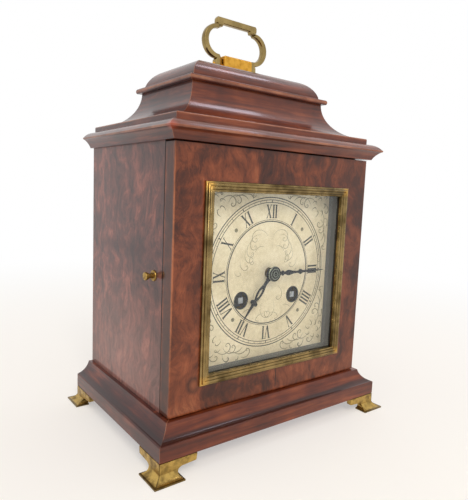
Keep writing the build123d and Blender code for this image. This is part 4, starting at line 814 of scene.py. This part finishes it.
# %% One stroke
def stroke(x_low, x_high, width, low, high):
    """One stroke in the mesh being edited: a plane from low to high, whose top is slid to x_high."""
    bpy.ops.mesh.select_all(action="DESELECT")
    bpy.ops.mesh.primitive_plane_add(size=MM, location=(x_low * MM, (low + high) / 2 * MM, 0))
    bpy.ops.transform.resize(value=(width, high - low, 1), center_override=(
        x_low * MM, (low + high) / 2 * MM, 0), orient_type="GLOBAL")
    if abs(x_high - x_low) > 1e-6:
        mesh = bpy.context.object.data
        bpy.ops.object.mode_set(mode="OBJECT")
        chosen = [v.index for v in mesh.vertices if v.select and v.co.y > (low + high) / 2 * MM]
        for v in mesh.vertices:
            v.select = v.index in chosen
        for line in mesh.edges:
            line.select = line.vertices[0] in chosen and line.vertices[1] in chosen
        for face in mesh.polygons:
            face.select = False
        bpy.ops.object.mode_set(mode="EDIT")
        bpy.ops.transform.translate(value=((x_high - x_low) * MM, 0, 0))


# %% [markdown]
# Thick and thin strokes and short serifs follow the old engraver's letter. The low and high ends are how far
# from the centre of the dial the letters begin and end.

# %% Letters
letter_low = 34.0
letter_high = 42.4
thick = 1.15
thin = 0.46
serif = 0.36
letter_widths = {"I": 2.15, "V": 5.0, "X": 5.2}


def letter(kind, x):
    """The strokes of one letter whose middle is at x."""
    if kind == "I":
        stroke(x, x, thick, letter_low, letter_high)
        for edge in (letter_low + serif / 2, letter_high - serif / 2):
            stroke(x, x, thick + 0.9, edge - serif / 2, edge + serif / 2)
    elif kind == "V":
        stroke(x + 0.2, x - 1.55, thick, letter_low, letter_high)
        stroke(x + 0.35, x + 1.7, thin, letter_low, letter_high)
        stroke(x - 1.55, x - 1.55, 1.9, letter_high - serif, letter_high)
        stroke(x + 1.7, x + 1.7, 1.3, letter_high - serif, letter_high)
    else:
        stroke(x + 1.5, x - 1.5, thick, letter_low, letter_high)
        stroke(x - 1.5, x + 1.5, thin, letter_low, letter_high)
        for end_x, size in ((-1.5, 1.3), (1.5, 1.9)):
            stroke(x + end_x, x + end_x, size, letter_low, letter_low + serif)
        for end_x, size in ((-1.5, 1.9), (1.5, 1.3)):
            stroke(x + end_x, x + end_x, size, letter_high - serif, letter_high)


# %% Numerals
def numeral(text, hour):
    """A Roman numeral in its place on the ring."""
    bpy.ops.object.select_all(action="DESELECT")
    bpy.ops.mesh.primitive_plane_add(size=MM)
    piece = bpy.context.object
    piece.name = f"numeral_{hour}"
    edit_all()
    bpy.ops.mesh.delete(type="VERT")
    x = -sum(letter_widths[kind] for kind in text) / 2
    for kind in text:
        letter(kind, x + letter_widths[kind] / 2)
        x += letter_widths[kind]
    bpy.ops.mesh.select_all(action="SELECT")
    thicken()
    close_up()
    stand_up(piece, turn=30.0 * hour)
    return piece


hours = ["I", "II", "III", "IIII", "V", "VI", "VII", "VIII", "IX", "X", "XI", "XII"]
numerals = [numeral(text, i + 1) for i, text in enumerate(hours)]
print("numerals:", len(numerals))


# %% [markdown]
# The sixty divisions are one short bar, spun round the centre as separate copies. Every fifth bar is wider.

# %% Minute divisions
def divisions(name, count, inner, outer, width):
    """Equal bars round the ring."""
    middle = (inner + outer) / 2
    bpy.ops.mesh.primitive_plane_add(size=MM, location=(0, middle * MM, 0))
    piece = bpy.context.object
    piece.name = name
    settle(piece)
    edit_all()
    bpy.ops.transform.resize(value=(width, outer - inner, 1), center_override=(0, middle * MM, 0),
                             orient_type="GLOBAL")
    thicken()
    bpy.ops.mesh.select_all(action="SELECT")
    bpy.ops.mesh.normals_make_consistent(inside=False)
    bpy.ops.mesh.spin(steps=count, dupli=True, angle=2 * math.pi, center=(0, 0, 0), axis=(0, 0, 1))
    bpy.ops.mesh.select_all(action="SELECT")
    bpy.ops.mesh.remove_doubles(threshold=0.001 * MM)
    bpy.ops.object.mode_set(mode="OBJECT")
    stand_up(piece)
    return piece


bar_low = 43.8
bar_high = 45.3
minute_bars = divisions("minute_divisions", 60, bar_low, bar_high, 0.2)
five_bars = divisions("five_minute_divisions", 12, bar_low, bar_high, 0.62)
print("division faces:", len(minute_bars.data.polygons), len(five_bars.data.polygons))

# %% The ends of the dial feet, and wax in all the marks
rivet_reach = 26.87
rivets = []
for x in (-rivet_reach, rivet_reach):
    for z in (-rivet_reach, rivet_reach):
        rivets.append(circle_mark(f"dial_foot_spot_{len(rivets)}", 1.22, 0.02, x, dial_z + z))
for marks, wax in ((rings + numerals + [minute_bars, five_bars], black_wax), (rivets, worn_wax)):
    for mark in marks:
        finish(mark, "silvered_dial", "case", wax)

# %% [markdown]
# The spandrels carry an engraved pattern of leafy scrolls, a common ornament on such dials, drawn here to a
# design of its own. Each scroll is a line that curls in on itself and swells in the middle, as a graver's cut
# does.

# %% One scroll
def scroll(x, z, heading, size, turns, side):
    """Points of a line that starts at x, z, runs along heading and curls in on itself."""
    points = []
    steps = int(14 * turns) + 6
    angle = math.radians(heading)
    for i in range(steps + 1):
        share = i / steps
        points.append((x, z))
        bend = side * (0.16 + 0.55 * share * share)
        step = size * (1.15 - share) * 0.17
        angle += bend
        x += step * math.cos(angle)
        z += step * math.sin(angle)
    return points


# %% [markdown]
# The lines are curves with a fine bevel, made into a mesh. A curve lets each point have its own radius, so a
# line can swell.

# %% Cut lines in the dial
def from_curve(name, drawing):
    """A piece with a mesh made from a curve."""
    take(new_piece(name, drawing))
    bpy.ops.object.convert(target="MESH")
    return bpy.context.object


def engrave(name, lines, width_mm):
    """One mesh of engraved lines on the plane of the dial, from lists of x and z in mm about its centre."""
    drawing = bpy.data.curves.new(name, "CURVE")
    drawing.dimensions = "3D"
    drawing.bevel_depth = width_mm / 2 * MM
    drawing.bevel_resolution = 0
    drawing.resolution_u = 2
    for points in lines:
        spline = drawing.splines.new("NURBS")
        spline.points.add(len(points) - 1)
        for i, (point, (x, z)) in enumerate(zip(spline.points, points)):
            point.co = (x * MM, dial_y * MM, (dial_z + z) * MM, 1.0)
            point.radius = 0.35 + 0.9 * math.sin(math.pi * min(1.0, (i + 0.6) / len(points)))
        spline.order_u = 3
        spline.use_endpoint_u = True
    return from_curve(name, drawing)


# %% [markdown]
# A corner is designed about its diagonal: u runs out along it and v across it. The same lines, mirrored over
# the diagonal, serve both halves, and one corner serves for all four.

# %% Draw one corner
corner_lines = []
for side in (-1, 1):
    for start, across, heading, size, turns in (
            (49.0, 0.6, 150, 7.0, 1.4), (50.5, 4.0, 100, 8.5, 1.7), (54.0, 7.0, 60, 6.0, 1.5),
            (58.0, 3.0, 70, 7.0, 1.6), (63.0, 1.2, 40, 5.0, 1.3), (53.0, 12.0, 95, 7.5, 1.6),
            (50.8, 17.0, 100, 6.5, 1.5), (57.0, 9.5, 30, 4.5, 1.2), (50.0, 22.5, 105, 5.0, 1.4)):
        points = scroll(start, across, heading, size, turns, 1)
        corner_lines.append([(u, side * v) for u, v in points])
    for start, across, heading, size in (
            (52.0, 2.5, 30, 4.0), (56.0, 6.0, 10, 3.6), (55.5, 14.0, 70, 3.4), (61.0, 4.0, 15, 3.2),
            (50.6, 20.0, 60, 3.0), (66.0, 0.8, 20, 2.6)):
        points = scroll(start, across, heading, size, 0.5, -1)
        corner_lines.append([(u, side * v) for u, v in points])
print("lines in a corner:", len(corner_lines))

# %% Engrave the four spandrels
# The engraving stops just inside the sight opening and just outside the chapter ring.
engraved_half = 50.6
ring_clear = 47.6
engraved_low = sight_z - dial_z - engraved_half
engraved_high = sight_z - dial_z + engraved_half
shortest = 5
spandrels = []
for quarter in range(4):
    turn = math.radians(45 + 90 * quarter)
    for line in corner_lines:
        placed = [(u * math.cos(turn) - v * math.sin(turn), u * math.sin(turn) + v * math.cos(turn))
                  for u, v in line]
        kept = [p for p in placed if abs(p[0]) < engraved_half and engraved_low < p[1] < engraved_high
                and math.hypot(*p) > ring_clear]
        if len(kept) > shortest:
            spandrels.append(kept)
spandrel_marks = engrave("spandrel_scrolls", spandrels, 0.44)
finish(spandrel_marks, "silvered_dial", "case", worn_wax)
print("spandrel lines:", len(spandrels))

# %% Fainter foliage inside the ring
# It keeps clear of the hands' centre, the chapter ring, the winding holes and a plain band above the centre.
centre_clear = 5.5
foliage_reach = 31.2
hole_clear = 6.6
band_half, band_low, band_high = 13.0, 7.0, 12.6
centre_lines = []
for side in (-1, 1):
    for x, z, heading, size, turns in (
            (2.0, 23.0, 60, 8.0, 1.6), (8.0, 24.0, 10, 7.0, 1.5), (14.0, 20.5, -20, 6.5, 1.5),
            (19.0, 15.0, -60, 6.0, 1.4), (5.0, 16.5, 20, 5.5, 1.4), (12.0, 13.0, -10, 5.0, 1.3),
            (23.0, 8.0, -80, 5.0, 1.3), (8.0, -9.0, -20, 6.0, 1.4), (13.0, -22.0, 20, 6.0, 1.4),
            (5.0, -19.0, -60, 7.0, 1.5), (3.0, -26.0, 20, 5.0, 1.3), (27.0, 2.0, -100, 3.5, 1.1)):
        points = scroll(x, z, heading, size, turns, -1)
        kept = [p for p in points if centre_clear < math.hypot(*p) < foliage_reach
                and math.hypot(p[0] - winding_x, p[1] + dial_z - winding_z) > hole_clear
                and not (abs(p[0]) < band_half and band_low < p[1] < band_high)]
        if len(kept) > shortest:
            centre_lines.append([(side * px, pz) for px, pz in kept])
foliage = engrave("centre_foliage", centre_lines, 0.24)
finish(foliage, "silvered_dial", "case", worn_wax)
print("foliage lines:", len(centre_lines))

# %% [markdown]
# ## Flat pieces cut from outlines
# The bail and both hands are flat castings or plates, filed to shape. An outline curve fills as one plate,
# an inner outline cuts an eye in it, and the curve's own bevel files the edges: wide flats on the bail, and
# a low dome on the hands.

# %% Cut a plate from its outline
def cut_plate(name, loops, thickness, edge, kind, edge_steps):
    """An upright plate, from closed outlines of x and height in mm, with its edges filed off."""
    drawing = bpy.data.curves.new(name, "CURVE")
    drawing.dimensions = "2D"
    drawing.fill_mode = "BOTH"
    drawing.extrude = (thickness / 2 - edge) * MM
    drawing.bevel_depth = edge * MM
    drawing.offset = -edge * MM
    drawing.bevel_resolution = edge_steps
    drawing.resolution_u = 6
    for loop in loops:
        spline = drawing.splines.new(kind)
        spline.points.add(len(loop) - 1)
        for point, (x, h) in zip(spline.points, loop):
            point.co = (x * MM, h * MM, 0, 1)
        if kind == "NURBS":
            spline.order_u = 3
        spline.use_cyclic_u = True
    piece = from_curve(name, drawing)
    bpy.ops.object.mode_set(mode="EDIT")
    close_up(merge_mm=0.002)
    put(piece, (0, 0, 0), turn=(90, 0, 0))
    return piece


# %% The carrying handle
# A straight grip sits between two stepped knuckles, and each bow turns in to an eye beside the base block.
bail_outside = [(12.8, 228.0), (15.6, 228.0), (16.7, 229.2), (16.7, 233.4), (15.9, 234.4)]
bail_outside += arc((15.9, 234.4), (25.6, 245.2), (15.6, 255.8), 22)
bail_outside += [(16.2, 256.2), (16.2, 258.9), (15.3, 260.2)]
bail_inside = [(10.9, 256.3), (11.6, 254.6), (14.1, 254.4), (14.1, 253.3)]
bail_inside += arc((14.1, 253.3), (22.1, 245.3), (13.6, 237.3), 20)
bail_inside += [(12.4, 235.6), (11.55, 234.8), (11.55, 229.2)]
bail_loop = bail_outside + [(-x, z) for x, z in reversed(bail_outside)]
bail_loop += [(-x, z) for x, z in reversed(bail_inside)] + bail_inside
bail_y = 5.25
bail = cut_plate("handle_bail_filed", [bail_loop], 4.4, 0.95, "POLY", 1)
put(bail, (0, bail_y, 0))
smooth(24)
finish(bail, "antique_brass", "bail", node="handle_bail")
print("bail faces:", len(bail.data.polygons))

# %% [markdown]
# ## The hands
# The hands are cut from thin steel and filed to a low dome. Both stand upright at first, and are then turned
# to a quarter past seven.

# %% Cut a hand from its outline
def mirrored(half):
    """A closed outline from its right half, given as half width and height above the centre."""
    return half + [(-w, h) for w, h in reversed(half)]


def cut_hand(name, half_outline, half_eyes, turn, front):
    """A pierced hand, turned clockwise on the dial. Front is the Y of its front face."""
    thickness = 0.6
    loops = [mirrored(half) for half in [half_outline] + half_eyes]
    piece = cut_plate(name, loops, thickness, 0.12, "NURBS", 2)
    smooth(50)
    put(piece, (0, front + thickness / 2, dial_z), turn=(0, turn, 0))
    return piece


# %% Hour and minute hands
nut_y = -44.2
hour_half = [
    (3.4, 0.0), (3.0, 2.6), (1.4, 5.0), (1.1, 7.4), (1.2, 9.2), (1.9, 11.6), (2.2, 14.4), (1.9, 17.4),
    (1.0, 20.0), (1.0, 20.6), (2.7, 20.9), (3.0, 22.0), (2.7, 23.1), (1.0, 23.4), (0.9, 25.0), (0.3, 33.0),
    (0.12, 34.4)]
hour_eye = [(0.2, 11.4), (0.8, 13.0), (1.0, 14.6), (0.75, 16.6), (0.2, 18.4)]
hour_piece = cut_hand("hour_hand_pierced", hour_half, [hour_eye], 217.5, -42.5)
minute_half = [
    (3.0, 0.0), (2.7, 2.4), (1.1, 4.4), (0.8, 6.4), (1.7, 7.1), (1.7, 8.0), (0.75, 8.7), (0.9, 10.0),
    (1.8, 11.8), (1.6, 13.8), (0.85, 16.6), (0.7, 20.6), (0.9, 21.6), (1.7, 22.2), (1.7, 23.5), (0.9, 24.2),
    (0.75, 26.0), (0.3, 42.5), (0.12, 43.9)]
minute_piece = cut_hand("minute_hand_filed", minute_half, [], 90.0, nut_y)

# %% [markdown]
# A collet holds each hand to its pipe, and a nut turned with fine rings closes the stack. The fine rings are
# painted: a painted highlight on each ridge and painted shade in each groove. Real rings are finer: these
# are 1.6 mm apart, as coarse as a render needs.

# %% Steel with painted highlights on its ridges
ring_mm = 1.6
painted_ridge_steel, tree, shader, place = begin("nut steel, painted ridge highlights")
from_axis = add(tree, "VectorMath", {0: place, 1: (0.0, nut_y * MM, dial_z * MM)}, operation="SUBTRACT")
flat_axis = add(tree, "VectorMath", {0: from_axis, 1: (1.0, 0.0, 1.0)}, operation="MULTIPLY")
away = add(tree, "VectorMath", {0: flat_axis}, operation="LENGTH")
turns = add(tree, "Math", {0: away, 1: 2 * math.pi / (ring_mm * MM)}, operation="MULTIPLY")
ripple = add(tree, "Math", {0: turns}, operation="COSINE")
highlight_breakup = add(tree, "TexNoise", {"Vector": place, "Scale": per_mm(2.0)})
ridge = add(tree, "Math", {0: ripple, 1: highlight_breakup}, operation="MULTIPLY")
share = add(tree, "MapRange", {"Value": ridge, "From Min": 0.05, "From Max": 0.42})
tone = add(tree, "Mix", {0: share, 6: "#101211", 7: "#858a7d"}, data_type="RGBA")
feed(shader, {"Base Color": tone, "Metallic": 1.0, "Roughness": 0.28})

# %% Turn the nut and the collets
nut = turned("hand_nut_turned", [
    (0, 0), (4.4, 0.0), (4.8, 0.3), (4.8, 0.8), (4.5, 1.15), (4.15, 1.2), (4.0, 0.9), (3.8, 0.9), (3.5, 1.3),
    (3.1, 1.45), (2.75, 1.3), (2.6, 1.05), (2.4, 1.05), (2.1, 1.5), (1.5, 1.7), (1.1, 1.6), (0.9, 1.3),
    (0.6, 1.3), (0.3, 1.55), (0, 1.6)])
hour_collet = turned("hour_hand_collet", [
    (2.36, 0), (3.3, 0), (3.5, 0.2), (3.5, 1.2), (2.36, 1.2), (2.36, 0)])
minute_collet = turned("minute_hand_collet", [
    (1.56, 0), (2.85, 0), (3.0, 0.15), (3.0, 0.7), (1.56, 0.7), (1.56, 0)])
for piece, y in ((nut, nut_y), (hour_collet, -40.9), (minute_collet, -43.0)):
    put(piece, (0, y, dial_z), turn=(90, 0, 0))

# %% Finish the hands, the collets and the nut
for piece, body, material, node in (
        (hour_piece, "hour_drive", None, "hour_hand"),
        (minute_piece, "minute_drive", None, "minute_hand"),
        (hour_collet, "hour_drive", None, None),
        (minute_collet, "minute_drive", None, None),
        (nut, "minute_drive", painted_ridge_steel, "hand_nut")):
    finish(piece, "blued_steel", body, material, node)
    print(piece.name, len(piece.data.polygons), "faces")

# %% [markdown]
# ## The picture
# The clock stands on a plain pale floor. The floor takes the shadow near the clock and fades to the white
# background further out. The light is a broad soft lamp from the front left, a small weak one from the right,
# which draws the streak low on the sweep, and an even world.

# %% Floor
bpy.ops.mesh.primitive_grid_add(x_subdivisions=8, y_subdivisions=8, size=12)
floor = bpy.context.object
floor.name = "studio_floor"
paper, tree, shader, place = begin("studio paper")
feed(shader, {"Base Color": "#fbf4e9", "Roughness": 0.8})
reach = add(tree, "VectorMath", {0: place}, operation="LENGTH")
fade = add(tree, "MapRange", {
    "Value": reach, "From Min": 0.12, "From Max": 0.75, "To Min": 0.42}, interpolation_type="SMOOTHSTEP")
white = add(tree, "Emission", {"Color": "#ffffff", "Strength": 1.0})
blend = add(tree, "MixShader", {0: fade, 1: shader, 2: white})
feed(tree.nodes["Material Output"], {"Surface": blend})
floor.data.materials.append(paper)
print("floor:", floor.name)

# %% World
# The camera, and what shines or is clear, see a white background. All else is lit by a slightly weaker one.
world = bpy.data.worlds.new("studio")
bpy.context.scene.world = world
world.use_nodes = True
tree = world.node_tree
for old in list(tree.nodes):
    tree.nodes.remove(old)
rays = add(tree, "LightPath")
seen = rays.outputs["Is Camera Ray"]
for kind in ("Is Glossy Ray", "Is Transmission Ray"):
    seen = add(tree, "Math", {0: seen, 1: rays.outputs[kind]}, operation="MAXIMUM")
even = add(tree, "Background", {"Color": "#f7f6f6", "Strength": 0.8})
backdrop = add(tree, "Background", {"Color": "#ffffff", "Strength": 1.0})
choose = add(tree, "MixShader", {0: seen, 1: even, 2: backdrop})
add(tree, "OutputWorld", {"Surface": choose})


# %% Lamps
def softbox(name, place, target, size, watts, tint):
    """A broad soft lamp that looks at a point."""
    lamp = bpy.data.lights.new(name, "AREA")
    lamp.shape = "SQUARE"
    lamp.size = size
    lamp.energy = watts
    lamp.color = linear(tint)[:3]
    holder = new_piece(name, lamp)
    holder.location = place
    holder.rotation_euler = (Vector(target) - Vector(place)).to_track_quat("-Z", "Y").to_euler()


softbox("key", (-0.55, -1.1, 1.15), (0, 0, 0.12), 0.6, 11.0, "#fffaf2")
softbox("streak", (0.62, -0.03, 1.13), (0, 0, 0.17), 0.2, 0.8, "#f2eeff")
print("lamps:", len(bpy.data.lights))

# %% Camera
# The camera's place comes from the photograph's own perspective: its edges were fitted to the case.
shot = bpy.data.cameras.new("shot")
shot.lens = 35.23
shot.sensor_width = 36.0
camera = new_piece("shot", shot)
camera_place = (-0.2003, -0.2666, 0.1497)
roll = math.radians(2.34)
level_right = Vector((0.79684, -0.60417, 0.0))
level_up = Vector((0.07178, 0.09466, 0.9929))
right = math.cos(roll) * level_right + math.sin(roll) * level_up
up = math.cos(roll) * level_up - math.sin(roll) * level_right
back_axis = right.cross(up)
camera.matrix_world = Matrix(
    [(right[i], up[i], back_axis[i], camera_place[i]) for i in range(3)] + [(0, 0, 0, 1)])
bpy.context.scene.camera = camera
bpy.context.scene.view_settings.view_transform = "Standard"
print("camera at:", camera_place)
